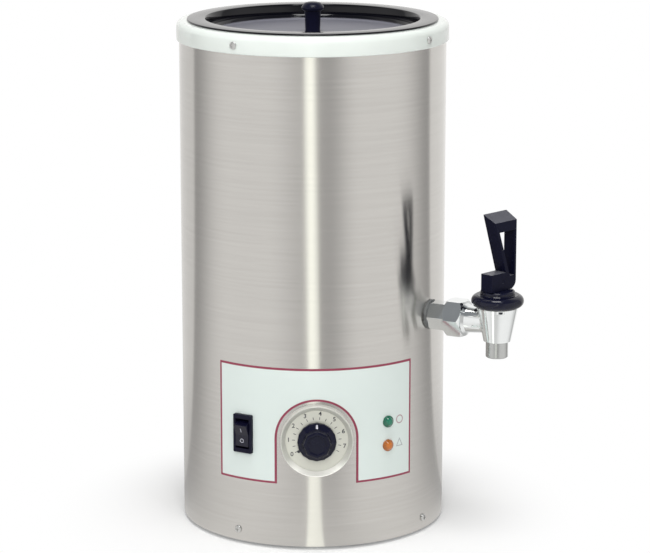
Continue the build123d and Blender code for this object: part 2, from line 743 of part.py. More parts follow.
# ------------------------------------------------------------------ wiring side
gland_seat = radial(gland_deg, shell_r, gland_z)
gland_back = 9.0                     # threaded end behind the shell's surface
hex_t = 5.0
gland_front = 8.0
with BuildPart() as cord_gland:
    with BuildSketch(gland_seat.offset(-gland_back)):
        Circle(gland_r)
    extrude(amount=gland_back)
    with BuildSketch(gland_seat):
        RegularPolygon(gland_r + 3.3, 6)
    extrude(amount=hex_t)
    with BuildSketch(gland_seat.offset(hex_t)):
        Circle(gland_r + 1.5)
    extrude(amount=gland_front, taper=9)
    with BuildSketch(gland_seat.offset(-30)):
        Circle(cord_bore_r)
    extrude(amount=60, mode=Mode.SUBTRACT)
save(cord_gland, "cord_gland")

with BuildPart() as gland_nut:
    with BuildSketch(gland_seat.offset(-6.8)):
        RegularPolygon(gland_r + 3.1, 6)
        Circle(gland_r, mode=Mode.SUBTRACT)
    extrude(amount=hex_t)
save(gland_nut, "gland_nut")

base_top = base_z + base_t
block_foot_t = 6.0
block_h = 14.0
pole_pitch = 8.6
with BuildPart() as terminal_block:
    with BuildSketch(floor.offset(base_top)):
        with Locations((0, block_y)):
            Rectangle(2 * block_screw_x + 10, 18)
    extrude(amount=block_foot_t)
    with BuildSketch(floor.offset(base_top + block_foot_t)):
        with Locations((0, block_y)):
            with GridLocations(pole_pitch, 1, 5, 1):
                Rectangle(pole_pitch - 1.4, 14)
    extrude(amount=block_h - block_foot_t)
    with BuildSketch(floor.offset(base_top + block_h)):
        with Locations((0, block_y)):
            with GridLocations(pole_pitch, 7, 5, 2):
                Circle(2.2)
    extrude(amount=-3, mode=Mode.SUBTRACT)
    with BuildSketch(floor.offset(base_top)):
        with Locations((-block_screw_x, block_y), (block_screw_x, block_y)):
            Circle(screw_hole_r)
    extrude(amount=2 * block_h, mode=Mode.SUBTRACT)
save(terminal_block, "terminal_block")

with BuildPart() as terminal_screws:
    with BuildSketch(floor.offset(base_z)):
        with Locations((-block_screw_x, block_y), (block_screw_x, block_y)):
            Circle(screw_r)
    extrude(amount=base_t + block_foot_t)
    with BuildSketch(floor.offset(base_top + block_foot_t)):
        with Locations((-block_screw_x, block_y), (block_screw_x, block_y)):
            Circle(2.8)
    extrude(amount=2.2)
save(terminal_screws, "terminal_screws")

with BuildPart() as ground_stud:
    with BuildSketch(floor.offset(base_z)):
        with Locations(earth_at):
            Circle(screw_r + 0.05)
    extrude(amount=14)
    with BuildSketch(floor.offset(base_top)):
        with Locations(earth_at):
            RegularPolygon(3.6, 6)
    extrude(amount=3)
    with BuildSketch(floor.offset(base_top + 3)):
        with Locations(earth_at):
            Circle(3.6)
    extrude(amount=0.8)
save(ground_stud, "ground_stud")


def wire(points, start_dir, end_dir, r=1.1):
    with BuildPart() as lead:
        with BuildLine() as path:
            Spline(*points, tangents=(start_dir, end_dir))
        with BuildSketch(Plane(origin=points[0], z_dir=start_dir)):
            Circle(r)
        sweep(path=path.line)
    return lead.part


terminal_top = base_top + block_h
with BuildPart() as lead_wires:
    back_in = switch_seat.z_dir * -1
    add(wire([switch_seat.from_local_coords((-terminal_x, terminal_y, -terminal_depth)), (-30, -30, 84),
              (-18, 25, 60), (-2 * pole_pitch, block_y - 3.5, terminal_top - 3)], back_in, (0, 0, -1)))
    add(wire([switch_seat.from_local_coords((terminal_x, -terminal_y, -terminal_depth)), (-26, -34, 68),
              (-12, 22, 50), (-pole_pitch, block_y - 3.5, terminal_top - 3)], back_in, (0, 0, -1)))
save(lead_wires, "lead_wires")


# ------------------------------------------------------------------ draw-off tap
def on_tap(u):
    """Plane across the tap's shank at distance u from the cylinder axis."""
    return radial(tap_deg, u, tap_z)


gasket_r = 12.2
with BuildPart() as tap_gasket:
    with BuildSketch(on_tap(shell_r - 6)):
        Circle(gasket_r)
        Circle(shank_r + 0.2, mode=Mode.SUBTRACT)
    extrude(amount=6 + gasket_t)
    with BuildSketch(floor.offset(tap_z - 20)):
        Circle(shell_r)
    extrude(amount=40, mode=Mode.SUBTRACT)
save(tap_gasket, "tap_gasket")

with BuildPart() as tap_shank:
    with BuildSketch(on_tap(tank_in_r - 7)):
        Circle(shank_r)
    extrude(amount=lock_u0 - tank_in_r + 7)
    with BuildSketch(on_tap(lock_u0)):
        Circle(thread_r)
    extrude(amount=nut_u1 - 6 - lock_u0)
    with BuildSketch(floor.offset(tap_z - 20)):
        Circle(tank_in_r - 0.6)
    extrude(amount=40, mode=Mode.SUBTRACT)
    with BuildSketch(on_tap(tank_in_r - 12)):
        Circle(shank_bore_r)
    extrude(amount=80, mode=Mode.SUBTRACT)
save(tap_shank, "tap_shank")


def hex_nut(u0, u1, across, bore, bevel):
    """Hex nut on the shank with both ends turned down to a bevel."""
    tip_r = across / sqrt(3) + 0.05
    with BuildPart() as nut:
        with BuildSketch(on_tap(u0)):
            RegularPolygon(across / 2, 6, major_radius=False)
            Circle(bore, mode=Mode.SUBTRACT)
        extrude(amount=u1 - u0)
        with BuildSketch(upright_at(tap_deg, 0, tap_z)):
            with BuildLine():
                Polyline((u0, 0), (u0, tip_r - bevel), (u0 + bevel, tip_r), (u1 - bevel, tip_r),
                         (u1, tip_r - bevel), (u1, 0), (u0, 0))
            make_face()
        revolve(axis=spindle(tap_deg, tap_z), mode=Mode.INTERSECT)
    return nut


lock_nut = hex_nut(lock_u0, lock_u1, 21.8, thread_r, 1.0)
save(lock_nut, "lock_nut")
coupling_nut = hex_nut(lock_u1, nut_u1, 28.6, thread_r, 2.2)
save(coupling_nut, "coupling_nut")

liner_t = 3.2                        # body wall at the top of the cone
with BuildPart() as tap_body:
    with BuildSketch(valve_plane):
        with BuildLine():
            Polyline((0, cone_z0), (cone_r0, cone_z0), (cone_r1, bonnet_z0), (0, bonnet_z0), (0, cone_z0))
        make_face()
    revolve(axis=valve_axis)
    with BuildSketch(on_tap(nut_u1)):
        Circle(11.4)
    with BuildSketch(on_tap(tap_axis_r - 8)):
        Circle(9.6)
    loft()
    with BuildSketch(on_tap(nut_u1)):
        Circle(12.6)
    extrude(amount=2.4, taper=30)
    with BuildSketch(valve_plane):
        with BuildLine():
            Polyline((0, seat_z), (9.0, seat_z), (10.6, seat_z + 9), (cone_r1 - liner_t, bonnet_z0 - 5),
                     (cone_r1 - liner_t, bonnet_z0 + 1), (0, bonnet_z0 + 1), (0, seat_z))
        make_face()
    revolve(axis=valve_axis, mode=Mode.SUBTRACT)
    with BuildSketch(on_tap(nut_u1 - 1)):
        Circle(shank_bore_r)
    extrude(amount=tap_axis_r - nut_u1, mode=Mode.SUBTRACT)
    with BuildSketch(on_valve(cone_z0 - 1)):
        Circle(spout_bore_r)
    extrude(amount=8, mode=Mode.SUBTRACT)
    with BuildSketch(on_valve(bonnet_z0 - 2.2)):
        with PolarLocations(cone_r1, 4, start_angle=-86):
            Rectangle(3.0, 3.4)
    extrude(amount=3, mode=Mode.SUBTRACT)
save(tap_body, "tap_body")

with BuildPart() as tap_spout:
    with BuildSketch(on_valve(spout_z0)):
        Circle(spout_r)
    extrude(amount=cone_z0 - spout_z0)
    chamfer(tap_spout.edges().filter_by(GeomType.CIRCLE).sort_by(Axis.Z)[0], 0.7)
    with BuildSketch(on_valve(spout_z0 - 1)):
        Circle(spout_bore_r)
    extrude(amount=through, mode=Mode.SUBTRACT)
save(tap_spout, "tap_spout")

stem_hole_r = stem_r + run_clear
spring_r = 6.2
spring_wire = 0.55
boss_r = 14.2
boss_round = 1.6
bonnet_side = 4.2                    # bonnet's rounded side
plug_r = cone_r1 - liner_t
plug_h = 4.5
roof_z = bonnet_z1 + 0.4             # inside of the bonnet over the spring
with BuildPart() as tap_bonnet:
    with BuildSketch(valve_plane):
        with BuildLine():
            Polyline((stem_hole_r, boss_z1), (boss_r - boss_round, boss_z1))
            RadiusArc((boss_r - boss_round, boss_z1), (boss_r, boss_z1 - boss_round), boss_round)
            Polyline((boss_r, boss_z1 - boss_round), (boss_r, bonnet_z1), (bonnet_r - bonnet_side, bonnet_z1))
            RadiusArc((bonnet_r - bonnet_side, bonnet_z1), (bonnet_r, bonnet_z1 - 5.0), 4.7)
            RadiusArc((bonnet_r, bonnet_z1 - 5.0), (bonnet_r - bonnet_side, bonnet_z0), 4.9)
            Polyline((bonnet_r - bonnet_side, bonnet_z0), (plug_r, bonnet_z0), (plug_r, bonnet_z0 - plug_h),
                     (plug_r - 1.4, bonnet_z0 - plug_h), (plug_r - 1.4, bonnet_z0), (8.4, bonnet_z0 + 2),
                     (8.4, roof_z), (stem_hole_r, roof_z), (stem_hole_r, boss_z1))
        make_face()
    revolve(axis=valve_axis)
save(tap_bonnet, "tap_bonnet")

cup_z1 = seat_z + 15.5
with BuildPart() as seat_cup:
    with BuildSketch(valve_plane):
        with BuildLine():
            Polyline((0, seat_z), (8.0, seat_z), (8.3, seat_z + 5), (5.0, seat_z + 9.5),
                     (7.6, cup_z1 - 2.2), (7.6, cup_z1), (stem_r, cup_z1), (stem_r, seat_z + 7),
                     (0, seat_z + 7), (0, seat_z))
        make_face()
    revolve(axis=valve_axis)
save(seat_cup, "seat_cup")

stem_top = pin_z + 3.0
lever_face = radial(handle_deg, 1, 0)
pin_plane = Plane(origin=(tap_point.X, tap_point.Y, pin_z), x_dir=lever_face.x_dir, z_dir=lever_face.z_dir)
with BuildPart() as tap_stem:
    with BuildSketch(on_valve(seat_z + 7)):
        Circle(stem_r)
    extrude(amount=stem_top - seat_z - 7)
    with BuildSketch(pin_plane.offset(-6)):
        Circle(pin_r)
    extrude(amount=12, mode=Mode.SUBTRACT)
save(tap_stem, "tap_stem")

with BuildPart() as handle_pin:
    with BuildSketch(pin_plane.offset(-lever_t / 2 + 0.2)):
        Circle(pin_r)
    extrude(amount=lever_t - 0.4)
save(handle_pin, "handle_pin")

spring_z0 = cup_z1 + spring_wire
spring_z1 = roof_z - spring_wire
spring_turns = 6
with BuildPart() as tap_spring:
    with BuildLine() as coil:
        Helix(pitch=(spring_z1 - spring_z0) / spring_turns, height=spring_z1 - spring_z0,
              radius=spring_r, center=(tap_point.X, tap_point.Y, spring_z0))
    with BuildSketch(Plane(origin=coil.line @ 0, z_dir=coil.line % 0)):
        Circle(spring_wire)
    sweep(path=coil.line, is_frenet=True)
save(tap_spring, "tap_spring")

# lever: profile drawn in the pin plane, seen from its broad side (Y measured from the pin)
low = foot_z0 - pin_z
step = foot_z1 - pin_z
top_back = lever_top_z - pin_z
across_lever = Plane(origin=pin_plane.origin, x_dir=pin_plane.z_dir, z_dir=pin_plane.x_dir)
window_top = top_back - 14.6
slot_half = stem_r + 0.25
with BuildPart() as tap_handle:
    with BuildSketch(pin_plane.offset(-lever_t / 2)):
        with BuildLine():
            Polyline((lever_left, low), (lever_left, step), (3.2, step), (lever_left + 1.6, top_back),
                     (lever_right, top_back), (lever_right, low), (lever_left, low))
        make_face()
        fillet(vertices().sort_by(Axis.Y)[:2].sort_by(Axis.X)[-1], 6.9)
    extrude(amount=lever_t)
    # top face falls away towards the broad side
    with BuildSketch(across_lever.offset(-40)):
        with BuildLine():
            Polyline((-lever_t / 2, top_back), (lever_t / 2, top_back - lever_fall),
                     (lever_t / 2, top_back + 2),
                     (-lever_t / 2, top_back + 2), (-lever_t / 2, top_back))
        make_face()
    extrude(amount=80, mode=Mode.SUBTRACT)
    # window between the slanting strut and the upright
    with BuildSketch(pin_plane.offset(-lever_t)):
        with BuildLine():
            Polyline((-3.6, window_top), (lever_right - 3.1, window_top), (lever_right - 3.1, step + 1.2),
                     (lever_right - 3.9, step + 1.2), (-3.6, window_top))
        make_face()
    extrude(amount=2 * lever_t, mode=Mode.SUBTRACT)
    # slot that lets the stem swing, and the pin bore
    with BuildSketch(pin_plane.offset(-slot_half)):
        with BuildLine():
            Polyline((-4.4, low - 1), (10.0, low - 1), (10.0, low + 2), (4.2, 4.6),
                     (-4.9, 4.6), (-4.4, low - 1))
        make_face()
    extrude(amount=2 * slot_half, mode=Mode.SUBTRACT)
    with BuildSketch(pin_plane.offset(-lever_t)):
        Circle(pin_r + 0.05)
    extrude(amount=2 * lever_t, mode=Mode.SUBTRACT)
save(tap_handle, "tap_handle")

# ------------------------------------------------------------------ lid
lid_screw_r = 2.0
with BuildPart() as lid_pan:
    with BuildSketch(sideways):
        with BuildLine():
            Polyline((0, lid_floor_z), (lid_mouth_r - 6.2, lid_floor_z), (lid_mouth_r - 4.8, lid_ledge_z),
                     (lid_mouth_r - 1.4, lid_ledge_z), (lid_mouth_r, lid_z), (lid_r, lid_z),
                     (lid_r, collar_z1), (lid_mouth_r + 1.2, collar_z1),
                     (lid_mouth_r - 0.1, lid_ledge_z - lid_t), (lid_mouth_r - 3.6, lid_ledge_z - lid_t),
                     (lid_mouth_r - 5.0, lid_floor_z - lid_t), (0, lid_floor_z - lid_t), (0, lid_floor_z))
        make_face()
    revolve(axis=Axis.Z)
    with BuildSketch(floor.offset(lid_floor_z - 5)):
        Circle(lid_screw_r + 0.1)
    extrude(amount=8, mode=Mode.SUBTRACT)
save(lid_pan, "lid_pan")

with BuildPart() as lid_knob:
    with BuildSketch(sideways):
        with BuildLine():
            Polyline((0, lid_floor_z), (6.6, lid_floor_z), (6.1, lid_floor_z + 2), (6.9, knob_top_z - 7.2))
            RadiusArc((6.9, knob_top_z - 7.2), (9.1, knob_top_z - 5.0), -2.2)
            RadiusArc((9.1, knob_top_z - 5.0), (8.2, knob_top_z - 1.6), -2.4)
            RadiusArc((8.2, knob_top_z - 1.6), (1, knob_top_z), -20)
            Polyline((1, knob_top_z), (0, knob_top_z), (0, lid_floor_z))
        make_face()
    revolve(axis=Axis.Z)
    with BuildSketch(floor.offset(lid_floor_z - 1)):
        Circle(lid_screw_r)
    extrude(amount=11, mode=Mode.SUBTRACT)
save(lid_knob, "lid_knob")

washer_t = 1.0
lid_head_t = 2.4
lid_under_z = lid_floor_z - lid_t    # underside of the dish
with BuildPart() as lid_knob_screw:
    with BuildSketch(floor.offset(lid_under_z - washer_t - lid_head_t)):
        Circle(3.9)
    extrude(amount=lid_head_t)
    with BuildSketch(floor.offset(lid_under_z - washer_t)):
        Circle(lid_screw_r)
    extrude(amount=10.5)
    with BuildSketch(floor.offset(lid_under_z - washer_t - lid_head_t)):
        Rectangle(5, 1)
        Rectangle(1, 5)
    extrude(amount=lid_head_t / 2, mode=Mode.SUBTRACT)
save(lid_knob_screw, "lid_knob_screw")

with BuildPart() as lid_knob_washer:
    with BuildSketch(floor.offset(lid_under_z - washer_t)):
        Circle(6.0)
        Circle(lid_screw_r + 0.1, mode=Mode.SUBTRACT)
    extrude(amount=washer_t)
save(lid_knob_washer, "lid_knob_washer")
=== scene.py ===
"""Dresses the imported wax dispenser: finishes, printed panel, dial marks, screws and the studio round it."""

import json
from functools import cache
from math import asin, atan2, cos, pi, radians, sin

import bmesh
import bpy
from mathutils import Matrix, Vector


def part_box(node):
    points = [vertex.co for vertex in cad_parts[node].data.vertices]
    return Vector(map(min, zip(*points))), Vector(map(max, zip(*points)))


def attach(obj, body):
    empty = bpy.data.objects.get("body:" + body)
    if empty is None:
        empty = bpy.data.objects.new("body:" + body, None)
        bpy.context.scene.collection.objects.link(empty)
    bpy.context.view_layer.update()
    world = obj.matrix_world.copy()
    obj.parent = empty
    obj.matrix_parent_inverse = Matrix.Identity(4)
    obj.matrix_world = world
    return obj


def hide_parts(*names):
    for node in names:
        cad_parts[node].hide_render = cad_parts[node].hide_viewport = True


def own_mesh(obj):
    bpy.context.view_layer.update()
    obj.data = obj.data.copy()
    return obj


bl_info = {
    "name": "Wax dispenser",
    "version": (1, 0, 0),
    "blender": (4, 5, 0),
    "location": "View3D > Sidebar > Wax dispenser",
    "description": "Finishes and details of a heated wax dispenser, built round its packed solids",
    "category": "Object",
}

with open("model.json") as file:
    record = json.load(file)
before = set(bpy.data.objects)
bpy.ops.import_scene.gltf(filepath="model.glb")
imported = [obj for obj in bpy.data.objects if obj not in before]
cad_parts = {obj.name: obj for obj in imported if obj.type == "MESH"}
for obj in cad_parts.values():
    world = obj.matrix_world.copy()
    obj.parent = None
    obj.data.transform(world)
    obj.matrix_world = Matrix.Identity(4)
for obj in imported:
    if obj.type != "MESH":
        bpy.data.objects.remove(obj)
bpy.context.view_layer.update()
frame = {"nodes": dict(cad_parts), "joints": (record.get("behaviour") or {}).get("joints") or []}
NODES = frame["nodes"]
MM = 0.001


# --- what the solids say, in mm
def span(node):
    """A node's lowest and highest corner."""
    low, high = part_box(node)
    return low / MM, high / MM


def centre(node, axis=2):
    """Where a node's middle lies on an axis, by default its height."""
    low, high = span(node)
    return (low[axis] + high[axis]) / 2


SHELL_R = span("outer_shell")[1].x
COLLAR_LOW, COLLAR_HIGH = span("top_collar")
COLLAR_R = COLLAR_HIGH.x
LID_HIGH = span("lid_pan")[1]
LID_R = LID_HIGH.x
GRIP_TOP = span("lid_knob")[1].z
FLANGE_R = span("inner_tank")[1].x
PANEL_LOW, PANEL_HIGH = span("panel_overlay")
BEZEL_LOW, BEZEL_HIGH = span("dial_bezel")
DIAL_Z = centre("dial_bezel")
DIAL_R = BEZEL_HIGH.x
KNOB_R = span("dial_knob")[1].x
TAP_X, TAP_Y = centre("tap_spout", 0), centre("tap_spout", 1)
BONNET_LOW, BONNET_HIGH = span("tap_bonnet")
BONNET_R = (BONNET_HIGH.x - BONNET_LOW.x) / 2

# sheet thicknesses, and the panel's arch, azimuths and lamp signs
SHELL_T = 0.8
PANEL_T = 0.3
PANEL_HALF = asin(PANEL_HIGH.x / (SHELL_R + PANEL_T))
ARCH_R = 32.4
SWITCH_DEG = -32.3
LAMP_DEG = 32.0
SIGN_DEG = 38.4
SIGN_R = 3.2
# the dial's face, its rim and where its printed marks start and end
DIAL_FACE = 2.6
RIM_RISE = 1.6
PLATE_R = 25.8
MARK_LOW, MARK_HIGH = -0.05, 0.04
FIRST_TICK_DEG = 208.7
# the lever: its heading, the fall of its top, and its window's head and foot below the top
LEVER_DEG = 43.5
LEVER_FALL = 6.3
WINDOW_HEAD = 14.6
WINDOW_FOOT = 47.2


# --- sizes and colours a user may change
def length(name, text, size, least=0.0):
    """A length property; its default is given in mm."""
    return bpy.props.FloatProperty(name=name, description=text, default=size * MM, min=least, precision=5,
                                   subtype="DISTANCE", unit="LENGTH")


def angle(name, text, degrees):
    return bpy.props.FloatProperty(name=name, description=text, default=radians(degrees), subtype="ANGLE",
                                   unit="ROTATION")


def count(name, text, number):
    return bpy.props.IntProperty(name=name, description=text, default=number, min=1)


def colour(name, text, rgb):
    return bpy.props.FloatVectorProperty(name=name, description=text, default=rgb, size=3, min=0.0, max=1.0,
                                         subtype="COLOR")


class ShellProps(bpy.types.PropertyGroup):
    steel: colour("Steel", "Colour of the brushed stainless shell", (0.60, 0.585, 0.562))
    brush: length("Brush line", "Height of one brushing line", 0.5)
    enamel: colour("Collar enamel", "Colour of the collar's gloss enamel", (0.78, 0.83, 0.79))
    head_radius: length("Screw head radius", "Radius of the pan heads on collar and base", 3.1)
    head_rise: length("Screw head rise", "How far a pan head stands out", 1.9)
    screws: count("Screws", "Screws in each ring", 4)
    first_screw: angle("First screw", "Azimuth of the first screw", -35.5)


class PanelProps(bpy.types.PropertyGroup):
    sheet: colour("Sheet", "Ground colour of the printed panel", (0.70, 0.775, 0.745))
    border: colour("Border", "Colour of the printed border", (0.28, 0.036, 0.075))
    border_width: length("Border width", "Width of the printed border", 1.8)
    plate: colour("Dial plate", "Colour of the dial plate", (0.63, 0.63, 0.555))
    rim: colour("Dial rim", "Colour of the rim round the dial plate", (0.55, 0.55, 0.50))
    ink: colour("Dial ink", "Colour of numerals and ticks", (0.035, 0.035, 0.045))
    numeral: length("Numeral height", "Height of the dial's numerals", 3.8)
    numeral_radius: length("Numeral circle", "Radius of the circle the numerals stand on", 22.9)
    tick_radius: length("Tick circle", "Radius of the middle of the ticks", 18.9)
    ticks: count("Ticks", "Number of ticks round the dial", 16)
    tick_step: angle("Tick step", "Angle from one tick to the next", -15.7)
    green: colour("Green lens", "Colour of the upper pilot lamp", (0.0, 0.13, 0.07))
    amber: colour("Amber lens", "Colour of the lower pilot lamp", (0.43, 0.118, 0.007))


class TapProps(bpy.types.PropertyGroup):
    chrome: colour("Chrome", "Colour of the plated tap", (0.87, 0.895, 0.90))
    moulding: colour("Black moulding", "Colour of knob, bonnet and lever", (0.0045, 0.005, 0.0175))
    edge: length("Lever edge", "Rounding of the lever's edges", 0.45)
    nut_edge: length("Nut edge", "Rounding of the nuts' edges", 0.3)


class StageProps(bpy.types.PropertyGroup):
    lens: length("Lens", "Focal length on a 36 mm sensor", 147.89)
    distance: length("Camera distance", "Camera in front of the cylinder's axis", 2185.4)
    height: length("Camera height", "Camera above the floor", 705.24)
    sideways: length("Camera sideways", "Camera to the right of the axis", -57.23, -1.0)
    level: bpy.props.FloatProperty(name="Room level", description="Light of the white room on matt surfaces",
                                   default=0.28, min=0.0)
    key: bpy.props.FloatProperty(name="Key light", description="Power of the large soft light above",
                                 default=25.0, min=0.0, subtype="POWER", unit="POWER")


# --- shader expressions
class Value:
    """A shader socket in Python arithmetic: each operation adds its Math node."""

    def __init__(self, graph, socket):
        self.graph = graph
        self.socket = socket

    def maths(self, operation, *operands):
        return self.graph.node("ShaderNodeMath", {"operation": operation}, operands)

    def __add__(self, other):
        return self.maths("ADD", self, other)

    def __sub__(self, other):
        return self.maths("SUBTRACT", self, other)

    def __rsub__(self, other):
        return self.maths("SUBTRACT", other, self)

    def __mul__(self, other):
        return self.maths("MULTIPLY", self, other)

    def __truediv__(self, other):
        return self.maths("DIVIDE", self, other)

    __radd__ = __add__
    __rmul__ = __mul__

    def abs(self):
        return self.maths("ABSOLUTE", self)

    def least(self, other):
        return self.maths("MINIMUM", self, other)

    def most(self, other):
        return self.maths("MAXIMUM", self, other)

    def root(self):
        return self.maths("SQRT", self)

    def ramp(self, start, end):
        """0 up to start, 1 from end, smooth between."""
        return self.graph.node("ShaderNodeMapRange", {"interpolation_type": "SMOOTHSTEP"},
                               {"Value": self, "From Min": start, "From Max": end})


class Graph:
    """Builds one node tree; node() makes any node from its type, settings and inputs."""

    def __init__(self, tree):
        self.tree = tree
        tree.nodes.clear()

    def node(self, kind, settings=None, inputs=(), output=0):
        made = self.tree.nodes.new(kind)
        for key, value in (settings or {}).items():
            setattr(made, key, value)
        for key, value in inputs.items() if isinstance(inputs, dict) else enumerate(inputs):
            if isinstance(value, Value):
                self.tree.links.new(value.socket, made.inputs[key])
            else:
                made.inputs[key].default_value = value
        return Value(self, made.outputs[output]) if made.outputs else made

    def part(self, vector, axis):
        return self.node("ShaderNodeSeparateXYZ", inputs=(vector,), output=axis)

    def place(self):
        """Object coordinates as three numbers in mm."""
        at = self.node("ShaderNodeTexCoord", output="Object")
        return [self.part(at, axis) / MM for axis in "XYZ"]

    def vector(self, x, y, z):
        return self.node("ShaderNodeCombineXYZ", inputs=(x, y, z))

    def azimuth(self, x, y):
        """Angle round the cylinder's axis from its front, in radians."""
        return x.maths("ARCTAN2", x, 0.0 - y)

    def rays(self, *kinds):
        return [self.node("ShaderNodeLightPath", output=kind) for kind in kinds]

    def grain(self, size, stretch=(1, 1, 1), detail=2.0, at=None):
        """Noise of about this size in mm, drawn out along the axes by stretch; at is a vector in mm."""
        coords = at or self.node("ShaderNodeTexCoord", output="Object")
        unit = (1.0 if at else 1.0 / MM) / size
        scaled = self.node("ShaderNodeMapping", inputs={"Vector": coords,
                                                        "Scale": tuple(unit / s for s in stretch)})
        return self.node("ShaderNodeTexNoise", inputs={"Vector": scaled, "Scale": 1.0, "Detail": detail})

    def mix(self, factor, first, second):
        """Colour between two colours, each a tuple of three or a Value."""
        pair = [c if isinstance(c, Value) else (*c, 1.0) for c in (first, second)]
        return self.node("ShaderNodeMix", {"data_type": "RGBA"}, {0: factor, 6: pair[0], 7: pair[1]}, output=2)

    def tint(self, tone, low, high, factor):
        """A colour that goes from low to high times itself with factor."""
        return self.mix(factor, [c * low for c in tone], [min(c * high, 1.0) for c in tone])

    def bump(self, height, strength, depth):
        return self.node("ShaderNodeBump", inputs={"Height": height, "Strength": strength,
                                                   "Distance": depth * MM})


def material(name, tone, recipe, **constants):
    """A finish: constants sit on the shader's sockets, recipe(graph) gives its colour, roughness and normal."""
    made = bpy.data.materials.new(name)
    made.use_nodes = True
    graph = Graph(made.node_tree)
    inputs = {key.replace("_", " ").title().replace("Ior", "IOR"): value for key, value in constants.items()}
    inputs.update(zip(("Base Color", "Roughness", "Normal"), recipe(graph)))
    shader = graph.node("ShaderNodeBsdfPrincipled", inputs=inputs)
    graph.node("ShaderNodeOutputMaterial", inputs={"Surface": shader})
    made.diffuse_color = (*tone, 1.0)
    return made


# --- finishes
def moulded(name, tone, roughness, depth=0.02, dust_and_sheen=0.0, **constants):
    """Moulded plastic or rubber: fine grain, faint clouding, and on what faces up dust together with a painted
    sheen, a paler grey.
    """
    constants.setdefault("specular_ior_level", 0.15)

    def recipe(g):
        cloud = g.grain(9.0, detail=3.0)
        fine = g.grain(0.35)
        up = g.part(g.node("ShaderNodeNewGeometry", output="Normal"), "Z")
        # painted sheen: faces that look up are mixed towards a pale grey, standing for dust and for the light
        # from above
        dust_and_sheen_mask = up.ramp(0.6, 0.95) * (cloud * 0.5 + 0.75) * dust_and_sheen
        return (g.mix(dust_and_sheen_mask, g.tint(tone, 0.86, 1.16, cloud), (0.7, 0.7, 0.76)),
                cloud * 0.14 + fine * 0.06 + (roughness - 0.10), g.bump(fine, 0.35, depth))

    return material(name, tone, recipe, **constants)


def lid_finish():
    """Black lid: sheen on the rim, a duller pan below it, whose lighter grey is painted sheen of the light from
    above.
    """
    gloss, pan_painted_sheen, pan_top = (0.0015, 0.0015, 0.004), (0.165, 0.165, 0.195), LID_HIGH.z - 11.0

    def recipe(g):
        x, y, z = g.place()
        deep = 1.0 - (z - pan_top).ramp(-0.6, 0.6)
        cloud = g.grain(12.0, detail=3.0)
        fine = g.grain(0.6)
        # the pan below the rim is painted a lighter grey: painted sheen on the black lid, over its real rougher
        # finish
        return (g.mix(deep, g.tint(gloss, 0.8, 1.2, cloud), pan_painted_sheen), deep * 0.34 + cloud * 0.06 + 0.07,
                g.bump(fine, 0.1, 0.004))

    return material("lid_black", (0.01, 0.01, 0.02), recipe, specular_ior_level=0.32)


def machined(name, tone, roughness, line=0.25, stretch=(1, 1, 1), depth=0.006):
    """Bare or plated metal: drawn-out tool marks over slow tarnish."""

    def recipe(g):
        marks = g.grain(line, stretch)
        tarnish = g.grain(14.0, detail=4.0)
        return (g.tint(tone, 0.90, 1.08, tarnish), marks * 0.10 + tarnish * 0.12 + (roughness - 0.10),
                g.bump(marks, 0.3, depth))

    return material(name, tone, recipe, metallic=1.0)


def painted(name, tone, roughness, **constants):
    """Gloss enamel: slight orange peel and an uneven sheen."""

    def recipe(g):
        peel = g.grain(1.6)
        cloud = g.grain(30.0, detail=3.0)
        return (g.tint(tone, 0.965, 1.03, cloud), peel * 0.05 + cloud * 0.07 + (roughness - 0.05),
                g.bump(peel, 0.2, 0.02))

    return material(name, tone, recipe, **constants)


def woven(name, tone, size):
    """Glass wool felt: tangled fibres with a soft nap."""

    def recipe(g):
        fibre = g.grain(size, (1, 1, 7), detail=4.0)
        clump = g.grain(size * 9, detail=3.0)
        return (g.tint(tone, 0.7, 1.15, fibre * 0.6 + clump * 0.4), fibre * 0.1 + 0.88,
                g.bump(fibre + clump, 0.8, 0.6))

    return material(name, tone, recipe, specular_ior_level=0.15)


def brushed_shell_finish(props):
    """Stainless sheet brushed round the cylinder: long fine lines that draw reflections out upright."""
    line, steel = props.brush / MM, props.steel

    def recipe(g):
        x, y, z = g.place()
        along = g.vector(g.azimuth(x, y) * 6.0, 0.0, z)
        fine = g.grain(line * 0.45, (3, 1, 1), 3.0, along)
        broad = g.grain(line * 5, (2.2, 1, 1), 2.0, along)
        cloud = g.grain(60.0, detail=2.0)
        return (g.tint(steel, 0.87, 1.13, fine * 0.35 + broad * 0.45 + cloud * 0.2),
                fine * 0.06 + cloud * 0.04 + 0.165, g.bump(fine * 0.6 + broad * 0.4, 0.2, 0.022))

    return material("brushed_shell", steel, recipe, metallic=1.0, anisotropic=0.93, anisotropic_rotation=0.25)


